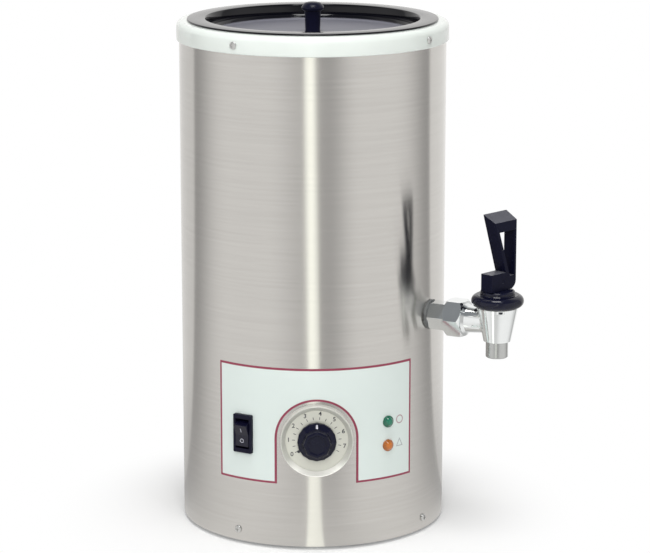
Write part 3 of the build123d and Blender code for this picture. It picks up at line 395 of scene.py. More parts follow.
def printed_panel_finish(props):
    """Printed polyester sheet: pale ground, a border that follows its edge and arch, two lamp signs."""
    sheet, width = props.sheet, props.border_width / MM
    half_width = (SHELL_R + PANEL_T) * PANEL_HALF
    half_height = (PANEL_HIGH.z - PANEL_LOW.z) / 2

    def recipe(g):
        x, y, z = g.place()
        s = g.azimuth(x, y) * (SHELL_R + PANEL_T)
        edge = (half_width - s.abs()).least(half_height - (z - centre("panel_overlay")).abs())
        # the arch is cut straight through, so its width is measured across and not round the shell
        rise = (z - DIAL_Z).most(0.0)
        arch = (x * x + rise * rise).root() - ARCH_R
        border = 1.0 - edge.least(arch).ramp(width - 0.3, width + 0.15)
        across = s - radians(SIGN_DEG) * SHELL_R
        up, down = z - centre("lamp_lens_green"), z - centre("lamp_lens_amber")
        ring = ((across * across + up * up).root() - SIGN_R).abs()
        # how far it is to the triangle's two slopes, which rise 2 in 1, and to its foot
        slope = (across.abs() * 0.894 + down * 0.447) - 1.7
        triangle = slope.most(0.0 - down - 2.2).abs()
        weave = g.grain(0.5)
        cloud = g.grain(40.0, detail=2.0)
        ground = g.tint(sheet, 0.975, 1.02, cloud)
        signed = g.mix((1.0 - ring.ramp(0.3, 0.7)) * 0.6, ground, props.border)
        signed = g.mix((1.0 - triangle.ramp(0.2, 0.5)) * 0.6, signed, (0.16, 0.15, 0.19))
        return (g.mix(border, signed, props.border), weave * 0.08 + cloud * 0.08 + 0.3,
                g.bump(weave, 0.1, 0.01))

    return material("printed_panel", sheet, recipe)


@cache
def finish(name):
    """One of the finishes that need no property, made when it is first asked for."""
    maker, *values = PLAIN[name]
    options = values.pop() if isinstance(values[-1], dict) else {}
    return maker(name, *values, **options)


PLAIN = {
    "tank_steel": (machined, (0.62, 0.62, 0.62), 0.30, {"line": 0.5, "stretch": (1, 1, 0.3)}),
    "fastener": (machined, (0.62, 0.62, 0.61), 0.30),
    "pan_steel": (machined, (0.55, 0.56, 0.57), 0.45, {"line": 3.0, "depth": 0.02}),
    "mica_band": (machined, (0.42, 0.40, 0.37), 0.5, {"line": 0.8}),
    "strap_steel": (machined, (0.55, 0.55, 0.54), 0.35),
    "wool": (woven, (0.72, 0.68, 0.56), 0.5),
    "foot_rubber": (moulded, (0.025, 0.025, 0.026), 0.75),
    "gasket_rubber": (moulded, (0.16, 0.165, 0.165), 0.5),
    "seat_silicone": (moulded, (0.5, 0.17, 0.12), 0.5),
    "phenolic": (moulded, (0.055, 0.048, 0.045), 0.45),
    "switch_black": (moulded, (0.0045, 0.0045, 0.017), 0.36),
    "rocker_gloss": (moulded, (0.004, 0.004, 0.016), 0.26, {"depth": 0.006, "specular_ior_level": 0.4}),
    "mark_white": (painted, (0.5, 0.5, 0.56), 0.4),
    "nylon": (moulded, (0.72, 0.71, 0.64), 0.5),
    "lamp_holder": (moulded, (0.64, 0.64, 0.6), 0.5),
    "copper": (machined, (0.72, 0.40, 0.25), 0.3),
    "brass": (machined, (0.78, 0.58, 0.28), 0.3),
    "wire_red": (moulded, (0.52, 0.05, 0.035), 0.45),
    "stem_steel": (machined, (0.68, 0.68, 0.68), 0.22),
    "gland_black": (moulded, (0.03, 0.03, 0.032), 0.5),
}


# --- shapes
def stand(deg, radius, z):
    """Frame on a cylinder of this radius: X runs sideways, Y up, Z outwards; lengths in mm."""
    a = radians(deg)
    across, up, out = Vector((cos(a), sin(a), 0)), Vector((0, 0, 1)), Vector((sin(a), -cos(a), 0))
    made = Matrix((across, up, out)).transposed().to_4x4()
    made.translation = out * radius + up * z
    return made


def shift(x=0.0, y=0.0, z=0.0):
    """Frame moved by this much, upright."""
    return Matrix.Translation((x, y, z))


def linked(name, data):
    """A new object with this data, in the scene."""
    obj = bpy.data.objects.new(name, data)
    bpy.context.scene.collection.objects.link(obj)
    return obj


def smooth(mesh, sharp=32.0):
    """Smooth shading, with hard edges past this angle."""
    mesh.shade_smooth()
    mesh.set_sharp_from_angle(angle=radians(sharp))


def solid(name, points, faces, at, sharp=32.0):
    """A mesh piece from points in mm in the frame at; its object stays at the origin."""
    mesh = bpy.data.meshes.new(name)
    mesh.from_pydata([at @ Vector(p) * MM for p in points], [], faces)
    bm = bmesh.new()
    bm.from_mesh(mesh)
    bmesh.ops.remove_doubles(bm, verts=bm.verts, dist=0.002 * MM)
    bmesh.ops.recalc_face_normals(bm, faces=bm.faces)
    bm.to_mesh(mesh)
    bm.free()
    smooth(mesh, sharp)
    return linked(name, mesh)


def lathe(name, profile, at, turns=96, closed=False, sharp=32.0):
    """Turns a profile of (radius, height) round the Z of the frame at."""
    points = []
    for k in range(turns):
        a = 2 * pi * k / turns
        points += [(r * cos(a), r * sin(a), h) for r, h in profile]
    n = len(profile)
    rows = n if closed else n - 1
    faces = []
    for k in range(turns):
        here, there = k * n, (k + 1) % turns * n
        for i in range(rows):
            j = (i + 1) % n
            ring = [here + i, there + i, there + j, here + j]
            if profile[i][0] == 0:
                ring.remove(there + i)
            if profile[j][0] == 0:
                ring.remove(there + j)
            if len(ring) > 2:
                faces.append(ring)
    return solid(name, points, faces, at, sharp)


def arc(cx, cy, radius, start, end, steps=8):
    """Points on an arc, angles in degrees."""
    turn = [radians(start + (end - start) * k / steps) for k in range(steps + 1)]
    return [(cx + radius * cos(a), cy + radius * sin(a)) for a in turn]


def oblong(x, y):
    """A rectangle's outline from its half width and half height."""
    return [(-x, -y), (x, -y), (x, y), (-x, y)]


def prism(name, outline, low, high, at):
    """A flat outline in mm given a thickness along Z."""
    n = len(outline)
    points = [(x, y, low) for x, y in outline] + [(x, y, high) for x, y in outline]
    faces = [list(range(n)), list(range(n, 2 * n))]
    faces += [[k, (k + 1) % n, n + (k + 1) % n, n + k] for k in range(n)]
    return solid(name, points, faces, at)


def baked(obj):
    """The object with its modifiers made part of a plain mesh."""
    graph = bpy.context.evaluated_depsgraph_get()
    mesh = bpy.data.meshes.new_from_object(obj.evaluated_get(graph), preserve_all_data_layers=True,
                                           depsgraph=graph)
    obj.modifiers.clear()
    obj.data = mesh
    return obj


def bevelled(obj, width, turn=30.0):
    """Rounds the edges at which the surface turns by more than this many degrees."""
    mod = obj.modifiers.new("edges", "BEVEL")
    mod.width = width
    mod.segments = 2
    mod.limit_method = "ANGLE"
    mod.angle_limit = radians(turn)
    mod.harden_normals = True
    return baked(obj)


def polished(node, name, edge=0.0, shape=None):
    """A merged copy of a CAD node with its flat faces joined, smooth where it is round."""
    mesh = NODES[node].data.copy()
    mesh.name = name
    mesh.materials.clear()
    bm = bmesh.new()
    bm.from_mesh(mesh)
    bmesh.ops.remove_doubles(bm, verts=bm.verts, dist=0.001 * MM)
    bmesh.ops.dissolve_limit(bm, angle_limit=radians(0.4), verts=bm.verts, edges=bm.edges)
    if shape:
        shape(bm)
    bm.to_mesh(mesh)
    bm.free()
    smooth(mesh, 30.0)
    obj = linked(name, mesh)
    return bevelled(obj, edge) if edge else obj


def turned(obj, *radii):
    """Exact normals on the walls that lie on these radii round the cylinder's axis, in mm."""
    mesh = obj.data
    normals = [None] * len(mesh.loops)
    for face in mesh.polygons:
        reach = [Vector(mesh.vertices[v].co.xy) / MM for v in face.vertices]
        on_wall = any(all(abs(p.length - r) < 0.03 for p in reach) for r in radii) and abs(face.normal.z) < 0.1
        for loop, p in zip(face.loop_indices, reach):
            side = 1 if Vector(face.normal.xy).dot(p) > 0 else -1
            normals[loop] = (p.to_3d().normalized() * side) if on_wall else face.normal
    mesh.normals_split_custom_set(normals)
    return obj


def dressed(obj, body, slot, coat, *nodes):
    """Gives a piece its finish, the body it rides on and the nodes it stands for, which it hides; slot is not
    used.
    """
    obj.data.materials.clear()
    obj.data.materials.append(coat)
    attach(obj, body)
    if nodes:
        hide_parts(*nodes)
    return obj


def refined(node, name, body, slot, coat, **options):
    """A polished copy of a CAD node, dressed to stand for it."""
    return dressed(polished(node, name, **options), body, slot, coat, node)


def coat_node(node, coat):
    """A CAD node that stays gets a finish in its material slots."""
    slots = NODES[node].material_slots
    for place in slots:
        place.material = coat
    if not slots:
        NODES[node].data.materials.append(coat)


def joined(name, parts):
    """Several plain meshes as one piece."""
    bm = bmesh.new()
    for part in parts:
        bm.from_mesh(part.data)
    mesh = bpy.data.meshes.new(name)
    bm.to_mesh(mesh)
    bm.free()
    smooth(mesh)
    for part in parts:
        bpy.data.objects.remove(part)
    return linked(name, mesh)


# --- repeats
RING_INPUTS = {"Count": "Int", "Radius": "Float", "Start": "Float", "Step": "Float", "Template": "Object",
               "Finish": "Material"}


def ring_tree():
    """Copies of a template round a circle: the template's X points outwards."""
    tree = bpy.data.node_groups.get("round_a_circle")
    if tree:
        return tree
    tree = bpy.data.node_groups.new("round_a_circle", "GeometryNodeTree")
    for name, kind in RING_INPUTS.items():
        tree.interface.new_socket(name, in_out="INPUT", socket_type="NodeSocket" + kind)
    tree.interface.new_socket("Geometry", in_out="OUTPUT", socket_type="NodeSocketGeometry")
    g = Graph(tree)
    given = {name: g.node("NodeGroupInput", output=name) for name in RING_INPUTS}
    turn = g.node("GeometryNodeInputIndex") * given["Step"] + given["Start"]
    radius = given["Radius"]
    spot = g.vector(turn.maths("COSINE", turn) * radius, turn.maths("SINE", turn) * radius, 0.0)
    cloud = g.node("GeometryNodePoints", inputs={"Count": given["Count"], "Position": spot})
    shape = g.node("GeometryNodeObjectInfo", inputs={"Object": given["Template"]}, output="Geometry")
    copies = g.node("GeometryNodeInstanceOnPoints", inputs={
        "Points": cloud, "Instance": shape, "Rotation": g.vector(0.0, 0.0, turn)})
    real = g.node("GeometryNodeRealizeInstances", inputs=(copies,))
    ended = g.node("GeometryNodeSetMaterial", inputs={"Geometry": real, "Material": given["Finish"]})
    g.node("NodeGroupOutput", inputs=(ended,))
    return tree


def ring_of(name, template, at, **values):
    """Repeats a template round a circle in the frame at, as one plain mesh."""
    obj = linked(name, bpy.data.meshes.new(name))
    mod = obj.modifiers.new("ring", "NODES")
    mod.node_group = ring_tree()
    values["Template"] = template
    for item in mod.node_group.interface.items_tree:
        if item.in_out == "INPUT":
            mod[item.identifier] = values[item.name]
    baked(obj)
    bpy.data.objects.remove(template)
    place = at.copy()
    place.translation *= MM
    obj.data.transform(place)
    return obj


def pan_head(radius, rise):
    """Domed cross-slot screw head whose top points along X, standing on X = 0; sizes in mm."""
    sunk, slot_depth = 0.4, 0.95
    dome = [(radius * cos(t), rise * (0.35 + 0.65 * sin(t))) for t in [radians(a) for a in range(0, 90, 10)]]
    outline = [(0, -sunk), (radius * 0.97, -sunk), (radius, 0.0)] + dome + [(0, rise)]
    lay = Matrix.Rotation(pi / 2, 4, "Y")
    head = lathe("pan_head", outline, lay, 40)
    arm, width = radius * 0.58, radius * 0.13
    plus = [(-arm, -width), (-width, -width), (-width, -arm)]
    for k in range(9):
        x, y = plus[k]
        plus.append((-y, x))
    cutter = prism("cross_slot", plus, rise - slot_depth, rise + 1.0, lay)
    cut = head.modifiers.new("slot", "BOOLEAN")
    cut.operation = "DIFFERENCE"
    cut.object = cutter
    baked(head)
    bpy.data.objects.remove(cutter)
    return head


# --- operators
class BuildStep:
    """What the build operators share."""

    bl_options = {"REGISTER", "UNDO"}

    def execute(self, context):
        self.build(context.scene)
        return {"FINISHED"}


class WAX_OT_shell(BuildStep, bpy.types.Operator):
    """Brushed stainless shell"""

    bl_idname = "wax.shell"
    bl_label = "Shell"

    def build(self, scene):
        shell = turned(polished("outer_shell", "shell_skin"), SHELL_R, SHELL_R - SHELL_T)
        dressed(shell, "housing", "brushed_shell", brushed_shell_finish(scene.wax_shell), "outer_shell")


class WAX_OT_collar(BuildStep, bpy.types.Operator):
    """White enamelled collar round the top"""

    bl_idname = "wax.collar"
    bl_label = "Collar"

    def build(self, scene):
        top, low, inner, skirt = COLLAR_HIGH.z, COLLAR_LOW.z, FLANGE_R + 0.2, SHELL_R + 0.1
        lip, crown = 0.8, 5.2
        profile = [(inner - 8.7, top - 9), (inner - 6.7, top - 9), (inner - 6.7, top - 3.8),
                   (skirt, top - 3.8), (skirt, low), (COLLAR_R - lip, low)]
        profile += arc(COLLAR_R - lip, low + lip, lip, -90, 0, 4)
        profile += arc(COLLAR_R - crown, top - crown, crown, 0, 90, 12)
        profile += [(inner + 0.4, top), (inner, top - 0.4), (inner, top - 1), (inner - 8.7, top - 1)]
        collar = lathe("collar_ring", profile, shift(), 240, closed=True)
        enamel = painted("collar_enamel", scene.wax_shell.enamel, 0.16, coat_weight=0.4, coat_roughness=0.05)
        dressed(collar, "housing", "collar_white", enamel, "top_collar")


class WAX_OT_screws(BuildStep, bpy.types.Operator):
    """Pan-head screws round the collar and the base"""

    bl_idname = "wax.screws"
    bl_label = "Screws"

    def build(self, scene):
        props = scene.wax_shell
        head = props.head_radius / MM, props.head_rise / MM
        steel = finish("fastener")
        # the tree measures from +X, the solids from -Y
        start = props.first_screw - pi / 2
        for name, radius in (("collar_screw", COLLAR_R), ("base_screw", SHELL_R)):
            node = name + "s"
            ring = ring_of(name + "_heads", pan_head(*head), shift(z=centre(node)), Count=props.screws,
                           Radius=radius * MM, Start=start, Step=2 * pi / props.screws, Finish=steel)
            smooth(ring.data)
            dressed(ring, "housing", "fastener_steel", steel, node)


class WAX_OT_lid(BuildStep, bpy.types.Operator):
    """Dished gloss lid with its mushroom grip"""

    bl_idname = "wax.lid"
    bl_label = "Lid"

    def build(self, scene):
        rim, under, mouth = LID_HIGH.z, COLLAR_HIGH.z, LID_R - 15.0
        ledge, floor, sheet = rim - 8.3, rim - 12.3, 1.5
        profile = [(0, floor), (mouth - 7.2, floor)]
        profile += arc(mouth - 7.2, floor + 1.2, 1.2, -90, -19, 5)
        profile += [(mouth - 5.1, ledge - 0.8), (mouth - 4.4, ledge), (mouth - 2.2, ledge),
                    (mouth - 0.6, ledge + 0.7), (mouth - 0.35, rim - 1.0)]
        profile += arc(mouth + 0.75, rim - 1.0, 1.0, 172, 90, 5)
        profile += arc(LID_R - 0.7, rim - 0.7, 0.7, 90, 0, 5) + [(LID_R, under + 0.05)]
        profile += [(mouth + 1.2, under + 0.05), (mouth - 0.1, ledge - sheet), (mouth - 3.6, ledge - sheet),
                    (mouth - 5.0, floor - sheet), (0, floor - sheet)]
        dish = lathe("lid_dish", profile, shift(), 240, sharp=38)
        dressed(dish, "lid", "lid_black", lid_finish(), "lid_pan")

        top, stalk, cap = GRIP_TOP, 6.6, 6.9
        outline = [(0, floor), (stalk, floor), (6.3, floor + 0.8), (6.1, floor + 2), (6.5, top - 11),
                   (cap, top - 7.6)] + arc(cap, top - 5.0, 2.4, -86, 40, 10)
        outline += [(7.9, top - 2.4), (6.6, top - 1.1), (4.4, top - 0.35), (2, top - 0.05), (0, top)]
        grip = lathe("lid_grip", outline, shift(), 72, sharp=50)
        knob = moulded("grip_black", scene.wax_tap.moulding, 0.3)
        dressed(grip, "lid", "knob_black", knob, "lid_knob")


class WAX_OT_panel(BuildStep, bpy.types.Operator):
    """Printed panel sheet wrapped round the front"""

    bl_idname = "wax.panel"
    bl_label = "Panel"

    def build(self, scene):
        sheet = turned(polished("panel_overlay", "panel_sheet"), SHELL_R + PANEL_T, SHELL_R + 0.02)
        dressed(sheet, "housing", "overlay", printed_panel_finish(scene.wax_panel), "panel_overlay")


class WAX_OT_dial(BuildStep, bpy.types.Operator):
    """Dial plate with rolled rim, numerals and ticks, and the faceted knob"""

    bl_idname = "wax.dial"
    bl_label = "Dial"

    def build(self, scene):
        props = scene.wax_panel
        seat, face = stand(0, SHELL_R, DIAL_Z), stand(0, SHELL_R + DIAL_FACE, DIAL_Z)
        self.dish(props, seat)

        ink = painted("dial_ink", props.ink, 0.5)
        first = radians(FIRST_TICK_DEG)
        tick = prism("tick", oblong(1.15, 0.26), MARK_LOW, MARK_HIGH, Matrix())
        ticks = ring_of("dial_ticks", tick, face, Count=props.ticks, Radius=props.tick_radius, Start=first,
                        Step=props.tick_step, Finish=ink)
        dressed(ticks, "housing", "dial_cream", ink)

        marks = [self.numeral(str(k), first + 2 * k * props.tick_step, face, props) for k in range(8)]
        spot, away, inset, dot = radians(209), 15.0, 1.6, 1.15
        aside = shift(away * cos(spot) - inset, away * sin(spot) - inset)
        marks.append(lathe("off_dot", [(0, MARK_LOW), (dot, MARK_LOW), (dot, MARK_HIGH), (0, MARK_HIGH)],
                           face @ aside, 24))
        dressed(joined("dial_numerals", marks), "housing", "dial_cream", ink)
        self.knob(scene, seat)

    def dish(self, props, seat):
        """Numeral plate, with a raised rim that slopes in to it."""
        crest, deep, hole = RIM_RISE - BEZEL_LOW.y - SHELL_R, -4.0, 5.4
        profile = [(hole, deep), (hole, DIAL_FACE), (PLATE_R - 0.9, DIAL_FACE),
                   (PLATE_R - 0.5, DIAL_FACE - 0.25), (PLATE_R - 0.1, DIAL_FACE + 0.1),
                   (DIAL_R - 1.5, crest - 0.4)]
        profile += arc(DIAL_R - 1.0, crest - 0.7, 0.7, 130, 30, 6)
        profile += [(DIAL_R - 0.15, crest - 1.4), (DIAL_R, crest - 2.4), (DIAL_R, deep)]
        dish = lathe("dial_plate", profile, seat, 120, closed=True, sharp=28)

        def recipe(g):
            x, y, z = g.place()
            rise = z - DIAL_Z
            rim = (x * x + rise * rise).root().ramp(PLATE_R - 0.6, PLATE_R)
            cloud = g.grain(20.0, detail=3.0)
            fine = g.grain(0.5)
            plate = g.tint(props.plate, 0.94, 1.04, cloud)
            # the rim is painted paler towards its lower side: a painted highlight where the light from above
            # falls on its upward slope
            rim_painted_highlight = g.mix((0.0 - rise).ramp(13.0, 25.0), props.rim, (0.97, 0.96, 0.90))
            return (g.mix(rim, plate, rim_painted_highlight), rim * -0.1 + fine * 0.06 + cloud * 0.06 + 0.32,
                    g.bump(fine, 0.12, 0.01))

        plate = material("dial_cream", props.plate, recipe, coat_weight=1.0, coat_roughness=0.1)
        dressed(dish, "housing", "dial_cream", plate, "dial_bezel")

    def numeral(self, text, turn, face, props):
        """One numeral as a thin raised mesh on the dial plate, upright."""
        curve = bpy.data.curves.new("numeral_" + text, "FONT")
        curve.body = text
        curve.size = props.numeral / MM * 1.32
        curve.extrude = MARK_HIGH
        curve.offset = 0.1
        curve.align_x = "CENTER"
        curve.align_y = "CENTER"
        shape = linked("text", curve)
        bpy.context.view_layer.update()
        mesh = bpy.data.meshes.new_from_object(shape.evaluated_get(bpy.context.evaluated_depsgraph_get()))
        bpy.data.objects.remove(shape)
        away = props.numeral_radius / MM
        mesh.transform(Matrix.Scale(MM, 4) @ face @ shift(away * cos(turn), away * sin(turn)))
        return linked("numeral_" + text, mesh)

    def knob(self, scene, seat):
        """Skirted knob cut in facets, hollowed on top, with an inlaid pointer."""
        r, back, sides = KNOB_R, DIAL_FACE + 0.9, 16
        rings = [(r, back), (r, back + 3.2), (r - 1.0, back + 4.2), (r - 3.6, back + 6.6),
                 (r - 4.9, back + 12.1), (r - 5.7, back + 12.9), (r - 7.2, back + 12.9), (r - 8.4, back + 12.0)]
        points, faces = [], []
        for radius, z in rings:
            for k in range(sides):
                a = 2 * pi * k / sides
                pull = 1.0 if k % 2 == 0 or z < back + 4 else 0.94
                points.append((radius * pull * cos(a), radius * pull * sin(a), z))
        for row in range(0, len(points) - sides, sides):
            for k in range(sides):
                j = (k + 1) % sides
                faces.append([row + k, row + j, row + sides + j, row + sides + k])
        faces += [list(range(sides)), list(range(len(points) - sides, len(points)))]
        grip = bevelled(solid("knob_grip", points, faces, seat, sharp=18), 0.3 * MM, 12)
        black = moulded("knob_black", scene.wax_tap.moulding, 0.26, specular_ior_level=0.18)
        dressed(grip, "dial", "knob_black", black, "dial_knob")
        # the pointer lies on the cone between the knob's third and fourth ring
        cone = Matrix.Rotation(-atan2(2.4, 2.6), 4, "X")
        slope = seat @ shift(0, r - 2.3, back + 5.4) @ cone
        wedge = [(-0.85, -1.9), (0.85, -1.9), (0.65, 1.6), (-0.65, 1.6)]
        inlay = prism("knob_pointer", wedge, -0.6, 0.3, slope)
        dressed(inlay, "dial", "knob_black", finish("mark_white"))


class WAX_OT_switch(BuildStep, bpy.types.Operator):
    """Rocker switch with its on and off marks"""

    bl_idname = "wax.switch"
    bl_label = "Switch"

    def build(self, scene):
        black, gloss = finish("switch_black"), finish("rocker_gloss")
        refined("switch_frame", "switch_bezel", "housing", "phenolic", black, edge=0.25 * MM)
        refined("switch_rocker", "switch_paddle", "rocker", "rocker_black", gloss, edge=0.3 * MM)

        # the paddle's front is a shallow V: foot out at the middle, and rise more at both ends
        reach, rise, foot = 9.25, 1.8, 6.3
        mark_low, mark_high, inner, outer = -0.1, 0.05, 1.25, 1.75
        pivot = stand(SWITCH_DEG, SHELL_R - 3.0, centre("switch_frame"))
        paddle = pivot @ Matrix.Rotation(radians(10), 4, "X")
        lean = Matrix.Rotation(atan2(rise, reach), 4, "X")
        upper = paddle @ shift(0, reach * 0.5, foot + rise * 0.5) @ lean
        lower = paddle @ shift(0, -reach * 0.5, foot + rise * 0.5) @ lean.inverted()
        bar = prism("on_mark", oblong(0.3, 1.7), mark_low, mark_high, upper)
        band = [(inner, mark_low), (outer, mark_low), (outer, mark_high), (inner, mark_high)]
        ring = lathe("off_mark", band, lower, 40, closed=True)
        dressed(joined("switch_marks", [bar, ring]), "rocker", "rocker_black", finish("mark_white"))


class WAX_OT_lamps(BuildStep, bpy.types.Operator):
    """Two domed pilot lamps"""

    bl_idname = "wax.lamps"
    bl_label = "Pilot lamps"

    def build(self, scene):
        for name in ("green", "amber"):
            name, tone = "lens_" + name, getattr(scene.wax_panel, name)
            node = "lamp_" + name
            low, high = span(node)
            r, wall = (high.z - low.z) / 2, 1.3
            seat = stand(LAMP_DEG, SHELL_R, centre(node))
            profile = [(0, 0.2), (r, 0.2), (r, wall)] + arc(r - 0.5, wall, 0.5, 0, 70, 4)
            profile += [(r * 0.8, 2.0), (r * 0.74, 2.3), (r * 0.66, 3.0), (r * 0.5, 3.75), (r * 0.3, 4.2),
                        (0, 4.38)]
            lens = lathe(name, profile, seat, 48, sharp=40)
            dressed(lens, "housing", name, self.glass(name, tone), node)

    def glass(self, name, tone):
        """Tinted lens over a ribbed diffuser: a darker rim and a lighter middle, by the lens's own height."""

        def recipe(g):
            x, y, z = g.place()
            out = (x * x + y * y).root() - SHELL_R
            ribs = g.grain(0.7)
            return (g.tint(tone, 0.75, 1.35, out.ramp(2.2, 4.2) * 0.7 + ribs * 0.3), ribs * 0.06 + 0.12,
                    g.bump(ribs, 0.15, 0.05))

        return material(name, tone, recipe, coat_weight=0.5, coat_roughness=0.04)


class WAX_OT_tap(BuildStep, bpy.types.Operator):
    """Plated tap with its nuts, spout and black bonnet"""

    bl_idname = "wax.tap"
    bl_label = "Tap"

    def build(self, scene):
        props = scene.wax_tap
        chrome = self.plating(props.chrome)
        nickel = machined("spout_nickel", (0.52, 0.53, 0.525), 0.2)
        nut = props.nut_edge
        for node, name, plated, edge in (
                ("lock_nut", "nut_inner", chrome, nut), ("coupling_nut", "nut_outer", chrome, nut),
                ("tap_shank", "shank", chrome, 0.0), ("tap_body", "valve_body", chrome, 0.0),
                ("tap_spout", "spout", nickel, 0.0)):
            refined(node, name, "housing", "tap_chrome", plated, edge=edge)
        refined("tap_gasket", "shank_gasket", "housing", "foot_rubber", finish("gasket_rubber"))

        low, boss, plug, bore = BONNET_LOW.z + 4.5, BONNET_HIGH.z, 13.7, 3.06
        top = boss - 3.6
        profile = [(bore, boss), (12.6, boss)] + arc(12.6, boss - 1.6, 1.6, 90, 0, 6)
        profile += [(14.2, top + 0.5), (14.7, top), (BONNET_R - 4.2, top)]
        profile += arc(BONNET_R - 5.0, low + 5.45, 5.0, 88, -88, 22)
        profile += [(BONNET_R - 5.4, low), (plug, low), (plug, low - 4.5), (plug - 1.4, low - 4.5),
                    (plug - 1.4, low), (8.4, low + 2), (8.4, top + 0.4), (bore, top + 0.4)]
        bonnet = lathe("bonnet", profile, shift(TAP_X, TAP_Y), 120, closed=True)
        black = moulded("bonnet_black", props.moulding, 0.13, depth=0.006, specular_ior_level=0.3)
        dressed(bonnet, "housing", "knob_black", black, "tap_bonnet")
        self.spring()

    def spring(self):
        """Stands on the seat cup, as a polished copy that rides with the valve and has a mesh of its own."""
        low, high = span("tap_spring")
        lift = next(joint["range_m"][1] for joint in frame["joints"] if joint["name"] == "tap_stem_lift") / MM
        coil = refined("tap_spring", "stem_spring", "tap_valve", "strap_steel", finish("strap_steel"))
        TAP_X * MM
        TAP_Y * MM
        1 - lift / (high.z - low.z)
        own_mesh(coil)

    def plating(self, tone):
        """Bright chrome over a polished casting."""

        def recipe(g):
            ripple = g.grain(2.4, detail=3.0)
            haze = g.grain(9.0, detail=3.0)
            return (g.tint(tone, 0.93, 1.04, haze), haze * 0.06 + ripple * 0.03 + 0.05,
                    g.bump(ripple, 0.12, 0.05))

        return material("tap_chrome", tone, recipe, metallic=1.0)


class WAX_OT_lever(BuildStep, bpy.types.Operator):
    """Black tap lever"""

    bl_idname = "wax.lever"
    bl_label = "Lever"

    def build(self, scene):
        props = scene.wax_tap
        # the lever's upward faces get dust and a painted sheen, a paler grey
        black = moulded("lever_black", props.moulding, 0.34, dust_and_sheen=0.15, specular_ior_level=0.08)
        refined("tap_handle", "lever", "tap_lever", "knob_black", black, edge=props.edge, shape=self.shape)
        coat_node("handle_pin", black)

    def shape(self, bm):
        """Lets the top fall towards the broad side and opens the window, most of all at its foot."""
        post, pillar, bridge, near_by = 3.1, 3.5, 10.0, 0.1
        foot_down, foot_aside, head_aside, post_aside = 4.8, 3.6, 1.3, 0.9
        heading = stand(LEVER_DEG, 0.0, 0.0)
        along, out = heading.col[0].to_3d(), heading.col[2].to_3d()
        middle = Vector(sum((Vector(c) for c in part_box("tap_handle")), Vector()) / 2) / MM
        high = max(v.co.z for v in bm.verts) / MM
        near = max((v.co / MM - middle).dot(out) for v in bm.verts)
        right = max((v.co / MM - middle).dot(along) for v in bm.verts)
        for v in bm.verts:
            z = v.co.z / MM
            s = (v.co / MM - middle).dot(along)
            if abs(z - (high - WINDOW_FOOT)) < near_by:
                if s < right - pillar:
                    v.co -= along * foot_aside * MM
                v.co.z -= foot_down * MM
            if abs(z - (high - WINDOW_HEAD)) < near_by and s < right - bridge:
                v.co -= along * head_aside * MM
            elif abs(s - (right - post)) < near_by and z < high - WINDOW_HEAD + near_by:
                v.co += along * post_aside * MM
        slope = (out * LEVER_FALL + Vector((0, 0, 2 * near))).normalized()
        back = Vector((middle.x, middle.y, high)) - out * near
        cut = bmesh.ops.bisect_plane(bm, geom=bm.verts[:] + bm.edges[:] + bm.faces[:], plane_co=back * MM,
                                     plane_no=slope, clear_outer=True, dist=0.001 * MM)
        bmesh.ops.edgeloop_fill(bm, edges=[e for e in cut["geom_cut"] if isinstance(e, bmesh.types.BMEdge)])
        bmesh.ops.recalc_face_normals(bm, faces=bm.faces)


class WAX_OT_fittings(BuildStep, bpy.types.Operator):
    """Finishes of the tank, the heaters, the wiring side, the base and the valve's inner pieces"""

    bl_idname = "wax.fittings"
    bl_label = "Fittings"

    def build(self, scene):
        refined("inner_tank", "tank_wall", "housing", "tank_steel", finish("tank_steel"))
        refined("cord_gland", "gland_body", "housing", "phenolic", finish("gland_black"), edge=0.3 * MM)
        for name, nodes in KEPT.items():
            for node in nodes.split():
                coat_node(node, finish(name))


# the CAD nodes that stay, by finish
KEPT = {
    "tank_steel": "tank_outlet",
    "mica_band": "band_heater floor_heater",
    "strap_steel": "heater_straps bulb_clips",
    "wool": "insulation_blanket",
    "phenolic": "limit_thermostat thermostat_body",
    "pan_steel": "tank_cradle base_plate thermostat_spacer",
    "foot_rubber": "rubber_ring",
    "fastener": "ring_screws thermostat_screws terminal_screws lid_knob_screw lid_knob_washer",
    "copper": "capillary_line sensor_bulb",
    "brass": "switch_terminals ground_stud",
    "lamp_holder": "lamp_body_green lamp_body_amber",
    "gland_black": "gland_nut",
    "nylon": "terminal_block",
    "wire_red": "lead_wires",
    "stem_steel": "thermostat_shaft tap_stem",
    "seat_silicone": "seat_cup",
}

# the studio that metal sees, by azimuth from the camera's side in degrees: a white room with two dark flags at
# the sides, soft on their inner side, a dim gap about the camera and one light strip; 1 is white, and
# BACK_RIGHT is how much lighter the right half is behind
MIDDLE = -3.0
FLAG = (62.0, 120.0)
FLAG_EDGE = (118.3, 121.0)
GAP_DEG = 11.0
GAP_LEFT, GAP_RIGHT = 53.0, 36.0
AHEAD, FLAG_LOSS, GAP_LOSS = 0.98, 0.55, 0.44
BACK_LEFT, BACK_RIGHT = 0.83, 0.12
STRIP_DEG = -4.7
STRIP_LEAN = 4.2
STRIP = (3.5, 5.0)
STRIP_LIGHT = (1.76, 1.79, 1.65)
# how far the camera looks down, and its turn, in radians; a turn below 0 is to the right
CAMERA_DOWN, CAMERA_TURN = 0.2253, -0.0308


